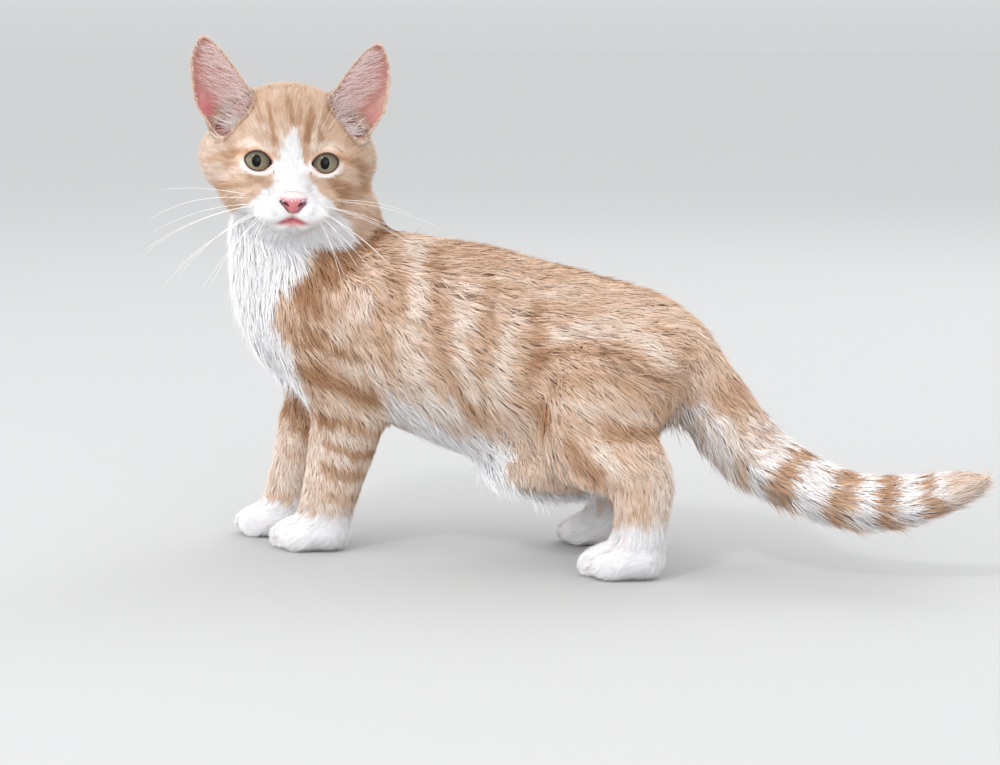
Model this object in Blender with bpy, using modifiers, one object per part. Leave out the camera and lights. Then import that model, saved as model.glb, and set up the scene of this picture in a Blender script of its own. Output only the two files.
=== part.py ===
"""A domestic shorthair kitten, about three months old, standing still with its head turned back to its left.

The solids reach out to the tips of the coat. Sizes are in millimetres until a mesh is made. The kitten faces -X,
its left side is towards -Y, and it stands on z = 0.
"""

import math

import bmesh
import bpy
import numpy as np
from mathutils import Matrix, Vector
from mathutils.bvhtree import BVHTree

MM = 0.001
GAP = 0.3
MERGE = 0.002
LEFT = -1
RIGHT = 1

# driving dimensions
WITHERS = 137.0
RUMP = 121.0
CHEST_HALF_WIDTH = 32.0
LOIN_HALF_WIDTH = 30.0
FORE_FOOT_LEFT = (-48.5, -11.4)
FORE_FOOT_RIGHT = (-73.0, 12.4)
HIND_FOOT_LEFT = (93.0, -31.0)
HIND_FOOT_RIGHT = (69.0, 31.0)
HOCK = 45.0
ELBOW = 61.0
EYES_AT = Vector((-55.1, -30.0, 166.6))
HEAD_TURN = 114.0
HEAD_RAISE = 3.0
HEAD_ROLL = 2.5
EYE_SPACING = 28.2
EYEBALL = 8.2
MIDDLE = (63.6, -3.0)

FINE_VOXEL = 0.8
BODY_VOXEL = 1.2
COARSE_VOXEL = 2.4
HEAD_TRIANGLES = 2700
BODY_TRIANGLES = 5000
EAR_THICKNESS = 1.2
EAR_SIDES = 8


def curve_through(keys, steps):
    """Rows read along a smooth curve through the key rows, with so many steps between each pair."""
    keys = np.array(keys, float)
    padded = np.vstack([2 * keys[0] - keys[1], keys, 2 * keys[-1] - keys[-2]])
    rows = []
    for before, start, end, after in zip(padded, padded[1:], padded[2:], padded[3:]):
        for t in np.arange(steps) / steps:
            bend = 2 * before - 5 * start + 4 * end - after
            swing = 3 * start - before - 3 * end + after
            rows.append(start + 0.5 * ((end - before) * t + bend * t**2 + swing * t**3))
    rows.append(keys[-1])
    return np.array(rows)


def loft(rings):
    """A closed mesh through rings of like count, with a flat face at each end."""
    shell = bmesh.new()
    loops = [[shell.verts.new(point) for point in ring] for ring in rings]
    for low, high in zip(loops, loops[1:]):
        for i in range(len(low)):
            j = (i + 1) % len(low)
            shell.faces.new((low[i], low[j], high[j], high[i]))
    shell.faces.new(loops[0][::-1])
    shell.faces.new(loops[-1])
    bmesh.ops.recalc_face_normals(shell, faces=shell.faces)
    return shell


def tube(keys, side=(0, 1, 0), sides=20, steps=4):
    """A loft of ovals along key rows of x, y, z, half size along side, half size square to it."""
    rows = curve_through(keys, steps)
    tangents = np.gradient(rows[:, :3], axis=0)
    rings = []
    for row, tangent in zip(rows, tangents):
        along = Vector(tangent).normalized()
        across = (Vector(side) - along * along.dot(Vector(side))).normalized()
        deep = along.cross(across)
        angles = [2 * math.pi * k / sides for k in range(sides)]
        centre = Vector(row[:3])
        rings.append([centre + across * row[3] * math.cos(a) + deep * row[4] * math.sin(a) for a in angles])
    return loft(rings)


def ball(centre, half, tilt=(0, 0, 0), segments=24):
    """An ellipsoid with its half sizes along X, Y and Z, tilted by degrees about them."""
    shell = bmesh.new()
    bmesh.ops.create_uvsphere(shell, u_segments=segments, v_segments=segments // 2, radius=1)
    turn = Matrix.Rotation(math.radians(tilt[2]), 4, "Z") @ Matrix.Rotation(math.radians(tilt[1]), 4, "Y")
    turn = turn @ Matrix.Rotation(math.radians(tilt[0]), 4, "X")
    shell.transform(Matrix.Translation(centre) @ turn @ Matrix.Diagonal((*half, 1)))
    return shell


def head_frame():
    """The matrix from the head's own axes, to its left eye's side, up and forward, to the kitten's."""
    heading = math.radians(180 + HEAD_TURN)
    raised = math.radians(HEAD_RAISE)
    forward = Vector((math.cos(raised) * math.cos(heading), math.cos(raised) * math.sin(heading), math.sin(raised)))
    level = Vector((-math.sin(heading), math.cos(heading), 0))
    upright = forward.cross(level)
    roll = math.radians(HEAD_ROLL)
    across = level * math.cos(roll) - upright * math.sin(roll)
    up = upright * math.cos(roll) + level * math.sin(roll)
    frame = Matrix((across, up, forward)).transposed().to_4x4()
    return Matrix.Translation(EYES_AT) @ frame


HEAD = head_frame()


def on_head(shell):
    """A shell made in the head's own axes, moved to the head."""
    shell.transform(HEAD)
    return shell


def make_object(name, shell):
    """A mesh object from a shell in millimetres, which is freed."""
    shell.transform(Matrix.Scale(MM, 4))
    mesh = bpy.data.meshes.new(name)
    shell.to_mesh(mesh)
    shell.free()
    made = bpy.data.objects.new(name, mesh)
    bpy.context.scene.collection.objects.link(made)
    return made


def joined(shells):
    """One shell that holds all the shells, which are freed."""
    whole = bmesh.new()
    scratch = bpy.data.meshes.new("scratch")
    for shell in shells:
        shell.to_mesh(scratch)
        whole.from_mesh(scratch)
        shell.free()
    bpy.data.meshes.remove(scratch)
    return whole


def shell_of(made):
    """The object's evaluated mesh as a shell in millimetres, with the object removed."""
    bpy.context.view_layer.update()
    evaluated = made.evaluated_get(bpy.context.evaluated_depsgraph_get())
    shell = bmesh.new()
    shell.from_mesh(evaluated.to_mesh())
    evaluated.to_mesh_clear()
    bpy.data.objects.remove(made)
    shell.transform(Matrix.Scale(1 / MM, 4))
    return shell


def fused(shells, voxel, smoothing):
    """The outer surface of overlapping shells, blended where they meet."""
    made = make_object("fused", joined(shells))
    remesh = made.modifiers.new("Remesh", "REMESH")
    remesh.mode = "VOXEL"
    remesh.voxel_size = voxel * MM
    smooth = made.modifiers.new("Smooth", "SMOOTH")
    smooth.factor = 0.5
    smooth.iterations = smoothing
    return shell_of(made)


def thinned(shell, triangles):
    """The shell with its count of triangles brought down, keeping most where it curves most."""
    bmesh.ops.triangulate(shell, faces=shell.faces)
    ratio = triangles / len(shell.faces)
    made = make_object("thinned", shell)
    decimate = made.modifiers.new("Decimate", "DECIMATE")
    decimate.ratio = min(1.0, ratio)
    return shell_of(made)


def cut_flat(shell, point, normal):
    """The part of the shell on the normal's side of a plane, closed by a flat face there."""
    cut = shell.copy()
    geometry = cut.verts[:] + cut.edges[:] + cut.faces[:]
    bmesh.ops.bisect_plane(
        cut, geom=geometry, plane_co=Vector(point), plane_no=Vector(normal), clear_inner=True, dist=MERGE
    )
    return closed(cut)


def closed(shell):
    """The shell in triangles, with vertices that all but meet merged and its holes filled flat."""
    bmesh.ops.remove_doubles(shell, verts=shell.verts, dist=MERGE)
    bmesh.ops.holes_fill(shell, edges=[edge for edge in shell.edges if edge.is_boundary])
    bmesh.ops.triangulate(shell, faces=shell.faces)
    bmesh.ops.dissolve_degenerate(shell, dist=MERGE, edges=shell.edges)
    bmesh.ops.holes_fill(shell, edges=[edge for edge in shell.edges if edge.is_boundary])
    bmesh.ops.triangulate(shell, faces=shell.faces)
    return shell


def split(shell, point, normal):
    """The two parts of a shell on either side of a plane, the gap apart: the normal's side first."""
    normal = Vector(normal).normalized()
    point = Vector(point)
    front = cut_flat(shell, point + normal * GAP / 2, normal)
    back = cut_flat(shell, point - normal * GAP / 2, -normal)
    shell.free()
    return front, back


def boolean(shell, tool, operation):
    """The shell joined with, cut by or kept inside the tool, as its largest closed surface. Both are freed."""
    base = make_object("base", shell)
    other = make_object("tool", tool)
    change = base.modifiers.new("Boolean", "BOOLEAN")
    change.operation = operation
    change.object = other
    result = shell_of(base)
    bpy.data.objects.remove(other)
    return largest(closed(result))


def largest(shell):
    """The shell without any loose scrap: its piece with the most faces."""
    seen = set()
    pieces = []
    for seed in shell.faces:
        if seed in seen:
            continue
        piece, fringe = [], [seed]
        seen.add(seed)
        while fringe:
            face = fringe.pop()
            piece.append(face)
            for edge in face.edges:
                for near in edge.link_faces:
                    if near not in seen:
                        seen.add(near)
                        fringe.append(near)
        pieces.append(piece)
    pieces.sort(key=len)
    for piece in pieces[:-1]:
        bmesh.ops.delete(shell, geom=piece, context="FACES")
    return shell


def box(centre, half, tilt=(0, 0, 0)):
    """A block with its half sizes along X, Y and Z, tilted by degrees about them."""
    shell = bmesh.new()
    bmesh.ops.create_cube(shell, size=2)
    turn = Matrix.Rotation(math.radians(tilt[2]), 4, "Z") @ Matrix.Rotation(math.radians(tilt[1]), 4, "Y")
    turn = turn @ Matrix.Rotation(math.radians(tilt[0]), 4, "X")
    shell.transform(Matrix.Translation(centre) @ turn @ Matrix.Diagonal((*half, 1)))
    return shell


def take(shell, centre, half, tilt=(0, 0, 0)):
    """What a block cuts out of a shell, and the rest, with the gap between them."""
    inside = boolean(shell.copy(), box(centre, half, tilt), "INTERSECT")
    wider = [size + GAP for size in half]
    rest = boolean(shell, box(centre, wider, tilt), "DIFFERENCE")
    return inside, rest


def trunk():
    """The barrel from the breast to the rump: x, top, bottom and half width of each station."""
    stations = [
        (-87, 120, 96, 12),
        (-80, 133, 83, 23),
        (-64, 139, 71, 29),
        (-42, 139, 64, CHEST_HALF_WIDTH - 0.5),
        (-18, WITHERS, 56, CHEST_HALF_WIDTH),
        (8, 134.5, 44.5, CHEST_HALF_WIDTH + 1),
        (34, 128.5, 38, LOIN_HALF_WIDTH + 1.5),
        (60, 125.5, 39, LOIN_HALF_WIDTH),
        (82, RUMP, 48, LOIN_HALF_WIDTH),
        (98, 113, 58, 27.5),
        (111, 100, 70, 22),
        (119, 89, 79, 9),
    ]
    keys = [(x, 0, (top + low) / 2, wide, (top - low) / 2) for x, top, low, wide in stations]
    return tube(keys)


def neck():
    """The neck and ruff, upright over the breast: x, y, z, half width and half depth along the body."""
    keys = [
        (-58, 0, 84, 24, 27),
        (-58.5, 0, 102, 27, 34),
        (-59.5, -1, 116, 28, 34.5),
        (-59, -3, 130, 27.5, 34.5),
        (-59, -6, 142, 27, 34),
        (-60, -9, 153, 26, 30),
        (-60, -10, 164, 22, 24),
    ]
    return tube(keys)


def head_core():
    """The skull, cheeks, jowls, brow and throat in the head's own axes, blended broadly."""
    middle = [
        ((0, 6, -25), (33, 28.5, 28)),
        ((0, 14, -15.5), (21, 17, 14.5)),
        ((0, -7, -8), (19, 14, 15)),
        ((0, -18, -10), (19, 12.5, 16)),
    ]
    paired = [
        ((19.5, 2, -22), (18.7, 18.5, 20)),
        ((14.5, -11, -12), (16, 14.5, 17)),
        ((13, 8, -8.5), (14, 8.5, 8.5)),
    ]
    return [on_head(shell) for shell in balls(middle, paired)]


def muzzle():
    """The bridge of the nose, the pads that carry the whiskers, and the chin, in the head's own axes."""
    middle = [((0, -25.6, 3.4), (8.6, 5.2, 8.6))]
    paired = [((6.6, -20.2, 6.3), (9.2, 6.4, 9.4)), ((14, -15.5, 0.5), (9, 8, 8))]
    bridge = [(0, 10, -8, 11, 8), (0, 0, -3, 8.6, 7), (0, -8, 3, 7.4, 6), (0, -14.5, 9.4, 6.6, 5), (0, -18, 11, 5, 4)]
    return [on_head(shell) for shell in balls(middle, paired) + [tube(bridge, side=(1, 0, 0))]]


def balls(middle, paired):
    """Ellipsoids from rows of centre and half sizes: one each on the middle plane, two each off it."""
    shells = [ball(centre, half) for centre, half in middle]
    for (u, v, w), half in paired:
        shells += [ball((side * u, v, w), half) for side in (LEFT, RIGHT)]
    return shells


def lids():
    """The bulge of the lids round each eyeball."""
    reach = EYEBALL + 1.35
    return [on_head(ball(eye_centre(side), (reach, reach - 0.4, reach))) for side in (LEFT, RIGHT)]


def eye_centre(side):
    """The middle of one eyeball, in the head's own axes."""
    return (side * EYE_SPACING / 2, 0, -6.8)


def foreleg(foot, elbow_x, side):
    """One foreleg from the shoulder to the wrist: it leans from the elbow to its own foot."""
    x, y = foot
    flare = side * 5
    return [
        ball((-50, side * 20.5, 100), (23, 13.5, 30), (0, -28, 0)),
        tube(
            [
                (elbow_x - 12, y + 1.6 * flare, 88, 12, 19),
                (elbow_x - 3, y + flare, 72, 12, 18),
                (elbow_x, y + 0.5 * flare, ELBOW, 11.5, 16.8),
                (elbow_x * 0.75 + x * 0.25, y, 48, 11, 15.8),
                (elbow_x * 0.4 + x * 0.6, y, 34, 10.5, 13.8),
                (x + 1.5, y, 22, 10.3, 12.8),
                (x - 1, y, 13, 10.4, 12.6),
                (x - 3, y, 5, 9.5, 11),
            ]
        ),
    ]


# each toe: how far outward it lies, how far forward as a share of the paw, and its half length
TOES = [(8.9, 0.56, 8.6), (3.2, 0.79, 7.6), (-3.0, 0.80, 7.6), (-8.6, 0.66, 8.0)]


def paw(heel_x, y, length, side):
    """A paw with four toes, the two middle ones reaching furthest, and a flat sole once the floor cuts it."""
    middle = heel_x - length * 0.47
    shells = [
        ball((middle, y, 7.0), (length * 0.44, 11.2, 9.4)),
        ball((middle + length * 0.2, y, 8.5), (length * 0.3, 10.6, 10.5)),
    ]
    for outward, reach, half_length in TOES:
        shells.append(ball((heel_x - length * reach, y + side * outward, 5.8), (half_length, 4.0, 6.8)))
    return shells


def hindleg(foot, knee_x, side):
    """One hind leg: thigh, bent knee, shank to the hock, and the upright hind foot."""
    x, y = foot
    return [
        tube(
            [
                (knee_x + 30, side * 15, 96, 14, 20),
                (knee_x + 24, side * 20, 86, 15.5, 25),
                (knee_x + 14, side * 23.5, 70, 14.5, 25),
                (knee_x + 4, side * 26, 54, 12.5, 18.5),
                (knee_x + 1, side * 27, 43, 9.5, 12),
            ]
        ),
        tube(
            [
                (knee_x, side * 26.5, 51, 10.5, 13),
                (knee_x + 14, side * 29, 47, 11, 13.5),
                (x - 3, y, HOCK, 10.2, 12.5),
                (x + 3, y, HOCK - 1, 8.5, 10.5),
            ]
        ),
        tube(
            [
                (x - 2, y, HOCK + 10, 9.6, 10),
                (x + 1.5, y, HOCK, 10.2, 12.3),
                (x + 1.2, y, 31, 10, 12.6),
                (x, y, 20, 10.2, 12.2),
                (x - 3, y, 9, 10, 12),
            ]
        ),
    ]


def belly_fold():
    """The loose fold of long hair that hangs in front of the hind legs."""
    return [ball((46, 0, 43), (31, 24, 19.5), (0, 3, 0)), ball((30, 0, 40), (17, 17, 12))]


TAIL = [
    (94, 0, 94, 17, 17),
    (104, -0.5, 83, 15.5, 17.5),
    (116.5, -1.5, 67.5, 14.2, 16.8),
    (131.7, -5, 51.5, 13.4, 15.2),
    (148.0, -9, 42, 12.4, 13.4),
    (163, -11, 35.8, 12, 12.8),
    (178.5, -12, 32.4, 11.6, 12.2),
    (195, -12.5, 33.2, 11, 11.3),
    (209.5, -12.5, 36.6, 9.6, 9.8),
    (221.5, -12.5, 40.4, 7.6, 7.8),
    (229.5, -12.5, 42.8, 3.6, 3.8),
]


TAIL_CUTS = [(142, 46, 0.6), (172, 33.5, 0.2), (201, 34, -0.15)]


def ear_sections(side, grow, front):
    """The rings of one ear from its root to its tip: a half oval behind the line between its two rims.

    grow is how far the ring stands outside the hollow of the ear, and front how far it closes before the rims.
    """
    inner = [(17, 17, -17), (15.8, 26, -14.5), (19.5, 31.5, -15), (24, 38, -17), (29.2, 44.8, -20), (34.6, 50, -22)]
    outer = [(27, 5, -16), (31, 11, -12.5), (38.6, 21.5, -15), (40.8, 32, -18), (41.2, 41.5, -21), (38.4, 49.8, -22)]
    depth = [9, 10.5, 10, 8, 5, 1.2]
    inner, outer, depth = (curve_through(rows, 2) for rows in (inner, outer, [[d] for d in depth]))
    back = Vector((0, 0.18, -0.98)).normalized()
    rings = []
    for near, far, (deep,) in zip(inner, outer, depth):
        near, far = Vector(near), Vector(far)
        middle, along = (near + far) / 2, (far - near) / 2
        wide = along.length
        along = along.normalized()
        ring = []
        for k in range(EAR_SIDES + 1):
            angle = math.pi * k / EAR_SIDES
            reach = along * (wide + grow) * -math.cos(angle) + back * (deep + grow) * math.sin(angle)
            ring.append(middle + reach)
        for share in (0.8, -0.8):
            ring.append(middle + along * (wide + grow) * share - back * front)
        rings.append([Vector((side * p.x, p.y, p.z)) for p in ring])
    return rings


def ear_mass(side):
    """One ear before its hollow is cut, with a rounded tip, in the head's own axes."""
    rings = ear_sections(side, EAR_THICKNESS, 0.35)
    tip = rings[-1]
    middle = sum(tip, Vector()) / len(tip)
    beyond = Vector((side * 0.9, 1.6, -0.3))
    rings.append([middle + (point - middle) * 0.55 + beyond for point in tip])
    return loft(rings)


def ear_hollow(side):
    """The hollow of one ear, in the head's own axes."""
    rings = ear_sections(side, 0, 6)
    return loft(rings[1:])


def lid_opening(side):
    """The almond between the lids, widening forward, with its inner corner low."""
    half_wide, half_high, lean = 5.5, 4.6, math.radians(10)
    rings = []
    for w, spread in ((-8, 0.9), (-1.5, 0.98), (3.5, 1.12)):
        ring = []
        for k in range(24):
            angle = 2 * math.pi * k / 24
            corner = 1 + (0.2 if math.cos(angle) < 0 else 0.06) * abs(math.cos(angle)) ** 9
            p = half_wide * spread * corner * math.cos(angle)
            q = half_high * spread * math.sin(angle)
            u = p * math.cos(lean) - q * math.sin(lean)
            v = p * math.sin(lean) + q * math.cos(lean)
            ring.append(Vector((side * (EYE_SPACING / 2 + u), v, w)))
        rings.append(ring)
    return loft(rings)


def nose_leather(grow=0.0):
    """The nose leather: broad above, narrow where it meets the lip."""
    keys = [
        (0, -13.2, 12.1, 4.2, 1.8),
        (0, -14.3, 13.0, 5.8, 2.9),
        (0, -16.4, 13.8, 5.3, 3.3),
        (0, -18.4, 13.6, 3.2, 2.9),
        (0, -20.2, 13.1, 1.5, 2.0),
    ]
    grown = [(u, v, w, wide + grow, deep + grow) for u, v, w, wide, deep in keys]
    grown[0] = (0, -13.2 + grow, *grown[0][2:])
    grown[-1] = (0, -20.2 - grow, *grown[-1][2:])
    return tube(grown, side=(1, 0, 0), sides=12, steps=2)


def on_surface(shell, path, sink):
    """Points of the head's own axes on its front surface, for a path of u and v, sunk by a depth."""
    local = shell.copy()
    local.transform(HEAD.inverted())
    tree = BVHTree.FromBMesh(local)
    points = []
    for u, v in path:
        place = tree.ray_cast(Vector((u, v, 60)), Vector((0, 0, -1)))[0]
        points.append((u, v, place.z - sink))
    local.free()
    return points


MOUTH = [(-13.8, -22.4), (-11.4, -24.6), (-7.8, -25.7), (-3.8, -24.7), (0, -23.3)]


def mouth_path():
    """The line of the mouth from corner to corner, in u and v."""
    return MOUTH + [(-u, v) for u, v in MOUTH[-2::-1]]


def seam(points, radius):
    """A thin round tube along points."""
    keys = [(*p, radius, radius) for p in points]
    keys[0] = (*points[0], radius * 0.5, radius * 0.5)
    keys[-1] = (*points[-1], radius * 0.5, radius * 0.5)
    return tube(keys, side=(0, 0, 1), sides=8, steps=2)


def face_detail(head):
    """The head with its lower lip, the line of the mouth, the cleft of the lip, sockets, lids and nose place."""
    lip = [(u * 0.62, v - 1.9) for u, v in mouth_path()[1:-1]]
    head = boolean(head, on_head(seam(on_surface(head, lip, 0.35), 1.15)), "UNION")
    head = boolean(head, on_head(seam(on_surface(head, mouth_path(), -0.1), 0.75)), "DIFFERENCE")
    cleft = [(0, -19.0), (0, -21.0), (0, -23.9)]
    head = boolean(head, on_head(seam(on_surface(head, cleft, -0.1), 0.6)), "DIFFERENCE")
    for side in (LEFT, RIGHT):
        socket = ball(eye_centre(side), (EYEBALL + GAP,) * 3, segments=16)
        socket = boolean(on_head(socket), on_head(lid_opening(side)), "UNION")
        head = boolean(head, socket, "DIFFERENCE")
    return boolean(head, on_head(nose_leather(GAP)), "DIFFERENCE")


def nose():
    """The nose leather with its two nostrils."""
    shell = on_head(nose_leather())
    for side in (LEFT, RIGHT):
        hole = ball((side * 3.3, -16.7, 16.7), (1.5, 0.8, 2.2), (0, side * 20, side * 24), 8)
        slit = ball((side * 5.3, -16.2, 14.9), (1.5, 0.5, 2.0), (0, 0, side * -14), 8)
        shell = boolean(shell, on_head(hole), "DIFFERENCE")
        shell = boolean(shell, on_head(slit), "DIFFERENCE")
    return shell


def whole_body():
    """The trunk, neck, legs and tail as one blended surface, flat under the feet."""
    core = [trunk(), neck(), tube(TAIL)] + belly_fold()
    core += head_core()
    core += foreleg(FORE_FOOT_LEFT, -37.5, LEFT) + foreleg(FORE_FOOT_RIGHT, -60.0, RIGHT)
    core += hindleg(HIND_FOOT_LEFT, 62, LEFT) + hindleg(HIND_FOOT_RIGHT, 42, RIGHT)
    shells = [fused(core, COARSE_VOXEL, 5)]
    for (x, y), side in ((FORE_FOOT_LEFT, LEFT), (FORE_FOOT_RIGHT, RIGHT)):
        shells += paw(x + 11, y, 37, side)
    for (x, y), side in ((HIND_FOOT_LEFT, LEFT), (HIND_FOOT_RIGHT, RIGHT)):
        shells += paw(x + 10, y, 36.5, side)
    body = fused(shells, BODY_VOXEL, 4)
    return thinned(body, BODY_TRIANGLES)


def whole_head():
    """The head with the top of the neck, at a finer grain."""
    core = fused(head_core() + [neck()], 1.5, 14)
    return fused([core] + muzzle() + lids(), FINE_VOXEL, 8)


def ears_on(head):
    """The head with both ears joined and hollowed."""
    for side in (LEFT, RIGHT):
        head = boolean(head, on_head(ear_mass(side)), "UNION")
        head = boolean(head, on_head(ear_hollow(side)), "DIFFERENCE")
    return head


def world(point):
    """A point of the head's own axes in the kitten's."""
    return HEAD @ Vector(point)


def direction(vector):
    """A direction of the head's own axes in the kitten's."""
    return HEAD.to_3x3() @ Vector(vector)


# where the nodes part: a place and the way that the cut faces, in the kitten's axes once the head's are turned
HEAD_CUT = (world((0, -26.5, -10)), direction((0, 0.81, 0.59)))
EAR_ROOT = (27, 20.7, -20)
EAR_WAY = (0.68, 0.73, 0.3)
NECK_CUT = ((-58, 0, 124), (-0.42, 0, 0.91))
WRIST_CUT = ((-60, 0, 19), (-0.2, 0, 1))
CHEST_CUT = ((2, 0, 90), (-1, 0, 0.15))
LOIN_CUT = ((66, 0, 90), (-1, 0, -0.2))

# blocks that take a node out of the body: centre, half sizes and tilt, for the left side where there are two
TAIL_BLOCK = ((200, -12, 27), (95, 21, 60), (0, 50, -8))
FORELEG_AT = (-62, 26, 20)
FORELEG_HALF = (46, 26 - GAP / 2, 41)
FORELEGS_MEET = 1 + GAP / 2
HINDFOOT_HALF = (30, 14, 20)
THIGH_X = {LEFT: 81, RIGHT: 69}
THIGH_HALF = (39, 20, 38)


def head_nodes():
    """The head, ears, eyes and nose."""
    nodes = {}
    spare = 4
    rough = cut_flat(whole_head(), HEAD_CUT[0] - HEAD_CUT[1] * spare, HEAD_CUT[1])
    head = thinned(rough, HEAD_TRIANGLES)
    head = cut_flat(head, HEAD_CUT[0] + HEAD_CUT[1] * GAP, HEAD_CUT[1])
    head = ears_on(face_detail(head))
    for name, side in (("ear_right", LEFT), ("ear_left", RIGHT)):
        root = world((side * EAR_ROOT[0], *EAR_ROOT[1:]))
        nodes[name], head = split(head, root, direction((side * EAR_WAY[0], *EAR_WAY[1:])))
    nodes["head"] = head
    nodes["nose"] = nose()
    for name, side in (("eye_right", LEFT), ("eye_left", RIGHT)):
        nodes[name] = on_head(ball(eye_centre(side), (EYEBALL,) * 3, segments=16))
    return nodes


def body_nodes():
    """The neck, torso, legs and tail, parted by blocks and flat cuts."""
    nodes = {}
    body = cut_flat(whole_body(), (0, 0, 0), (0, 0, 1))
    body = cut_flat(body, HEAD_CUT[0], -HEAD_CUT[1])
    nodes["neck"], body = split(body, *NECK_CUT)
    tail, body = take(body, *TAIL_BLOCK)
    fore_x, outward, fore_z = FORELEG_AT
    for name, side, (hind_x, hind_y) in (("left", LEFT, HIND_FOOT_LEFT), ("right", RIGHT, HIND_FOOT_RIGHT)):
        leg, body = take(body, (fore_x, FORELEGS_MEET + side * outward, fore_z), FORELEG_HALF)
        nodes[f"foreleg_{name}"], nodes[f"forepaw_{name}"] = split(leg, *WRIST_CUT)
        nodes[f"hindfoot_{name}"], body = take(body, (hind_x, hind_y + side * 3, 13), HINDFOOT_HALF)
        nodes[f"thigh_{name}"], body = take(body, (THIGH_X[side], side * 38, 62), THIGH_HALF, (-side * 14, 14, 0))
    nodes["chest"], body = split(body, *CHEST_CUT)
    nodes["belly"], nodes["rump"] = split(body, *LOIN_CUT)
    for count, (x, z, lean) in enumerate(TAIL_CUTS, 1):
        nodes[f"tail_{count}"], tail = split(tail, (x, 0, z), (-math.cos(lean), 0, math.sin(lean)))
    nodes[f"tail_{len(TAIL_CUTS) + 1}"] = tail
    return nodes


def clay(name, colour, roughness):
    """A plain surface of one colour."""
    material = bpy.data.materials.new(name)
    material.use_nodes = True
    shader = material.node_tree.nodes["Principled BSDF"]
    shader.inputs["Base Color"].default_value = (*colour, 1)
    shader.inputs["Roughness"].default_value = roughness
    return material


def main():
    for old in list(bpy.data.objects):
        bpy.data.objects.remove(old)
    kitten = bpy.data.collections.new("kitten")
    bpy.context.scene.collection.children.link(kitten)
    nodes = {**head_nodes(), **body_nodes()}
    colours = {"eye": (0.25, 0.24, 0.15), "nose": (0.75, 0.36, 0.34), "ear": (0.80, 0.55, 0.45)}
    for name, shell in nodes.items():
        shell.transform(Matrix.Translation((-MIDDLE[0], -MIDDLE[1], 0)))
        made = make_object(name, shell)
        bpy.context.scene.collection.objects.unlink(made)
        kitten.objects.link(made)
        colour = colours.get(name.split("_")[0], (0.80, 0.58, 0.38))
        made.data.materials.append(clay(name, colour, 0.25 if "eye" in name else 0.8))
        made.data.shade_smooth()
        made.data.set_sharp_from_angle(angle=math.radians(35))
        print(name, len(made.data.polygons))


if __name__ == "__main__":
    main()
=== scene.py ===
"""A pale ginger tabby and white kitten: skin, coat, eyes, nose and whiskers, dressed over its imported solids.

Sizes are in millimetres in the kitten's own frame until a mesh is made. The kitten faces -X and its left
side is towards -Y. Places on its head are also given in the head's own axes: u towards its left eye, v up
and w forward.
"""

import math

import bmesh
import bpy
import numpy as np
from mathutils import Matrix, Vector
from mathutils.bvhtree import BVHTree
from mathutils.kdtree import KDTree


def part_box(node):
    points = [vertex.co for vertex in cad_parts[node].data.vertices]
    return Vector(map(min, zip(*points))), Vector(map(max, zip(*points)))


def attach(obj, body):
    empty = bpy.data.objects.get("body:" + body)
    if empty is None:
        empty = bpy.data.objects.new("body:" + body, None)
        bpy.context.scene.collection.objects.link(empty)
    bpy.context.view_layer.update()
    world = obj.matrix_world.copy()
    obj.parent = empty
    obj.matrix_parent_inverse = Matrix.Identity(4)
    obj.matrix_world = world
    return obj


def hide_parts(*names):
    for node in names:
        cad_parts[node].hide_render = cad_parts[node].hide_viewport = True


bl_info = {
    "name": "Ginger and white kitten",
    "version": (1, 0, 0),
    "blender": (4, 5, 0),
    "location": "View3D > Sidebar > Kitten",
    "description": "Builds the skin, coat and face of a shorthair kitten round its solids",
    "category": "Object",
}

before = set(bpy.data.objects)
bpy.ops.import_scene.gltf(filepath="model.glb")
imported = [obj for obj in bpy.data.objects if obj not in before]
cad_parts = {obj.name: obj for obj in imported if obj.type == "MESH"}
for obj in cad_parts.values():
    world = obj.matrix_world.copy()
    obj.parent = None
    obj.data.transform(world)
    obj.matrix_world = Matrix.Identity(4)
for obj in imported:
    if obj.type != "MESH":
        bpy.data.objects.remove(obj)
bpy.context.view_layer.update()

MM = 0.001
SIDES = {"left": 1, "right": -1}
EYE_NODES = ("eye_left", "eye_right")
FLESH = sorted(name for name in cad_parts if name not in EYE_NODES + ("nose",))

# the head, as the solids have it
HEAD_TURN = 114.0
HEAD_RAISE = 3.0
HEAD_ROLL = 2.5
EYE_SPACING = 28.2
EYEBALL = 8.2
EYE_BACK = -6.8
LID_WIDE = 5.08
LID_HIGH = 4.08
LID_LEAN = 10.0
LID_DRAWN = (0.924, 0.887, 1)
NOSE_TIP = (0, -16, 12)
MOUTH = [(-13.8, -22.4), (-11.4, -24.6), (-7.8, -25.7), (-3.8, -24.7), (0, -23.3)]
EAR_NEAR = [(27, 5, -16), (17, 17, -17), (15.8, 26, -14.5), (19.5, 31.5, -15), (24, 38, -17),
            (29.2, 44.8, -20), (34.6, 50, -22), (36, 52, -23)]
EAR_FAR = [(27, 5, -16), (31, 11, -12.5), (38.6, 21.5, -15), (40.8, 32, -18), (41.2, 41.5, -21),
           (38.4, 49.8, -22), (36, 52, -23)]
GAZE = -4.0
TEAR_LINE = [(9.4, -1.4), (8.3, -2.6), (7.7, -4.2), (6.9, -6.2)]
NOSTRIL = [(5.6, -15.5), (4.4, -16.5), (3.3, -17.1), (2.2, -17.7)]

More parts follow.
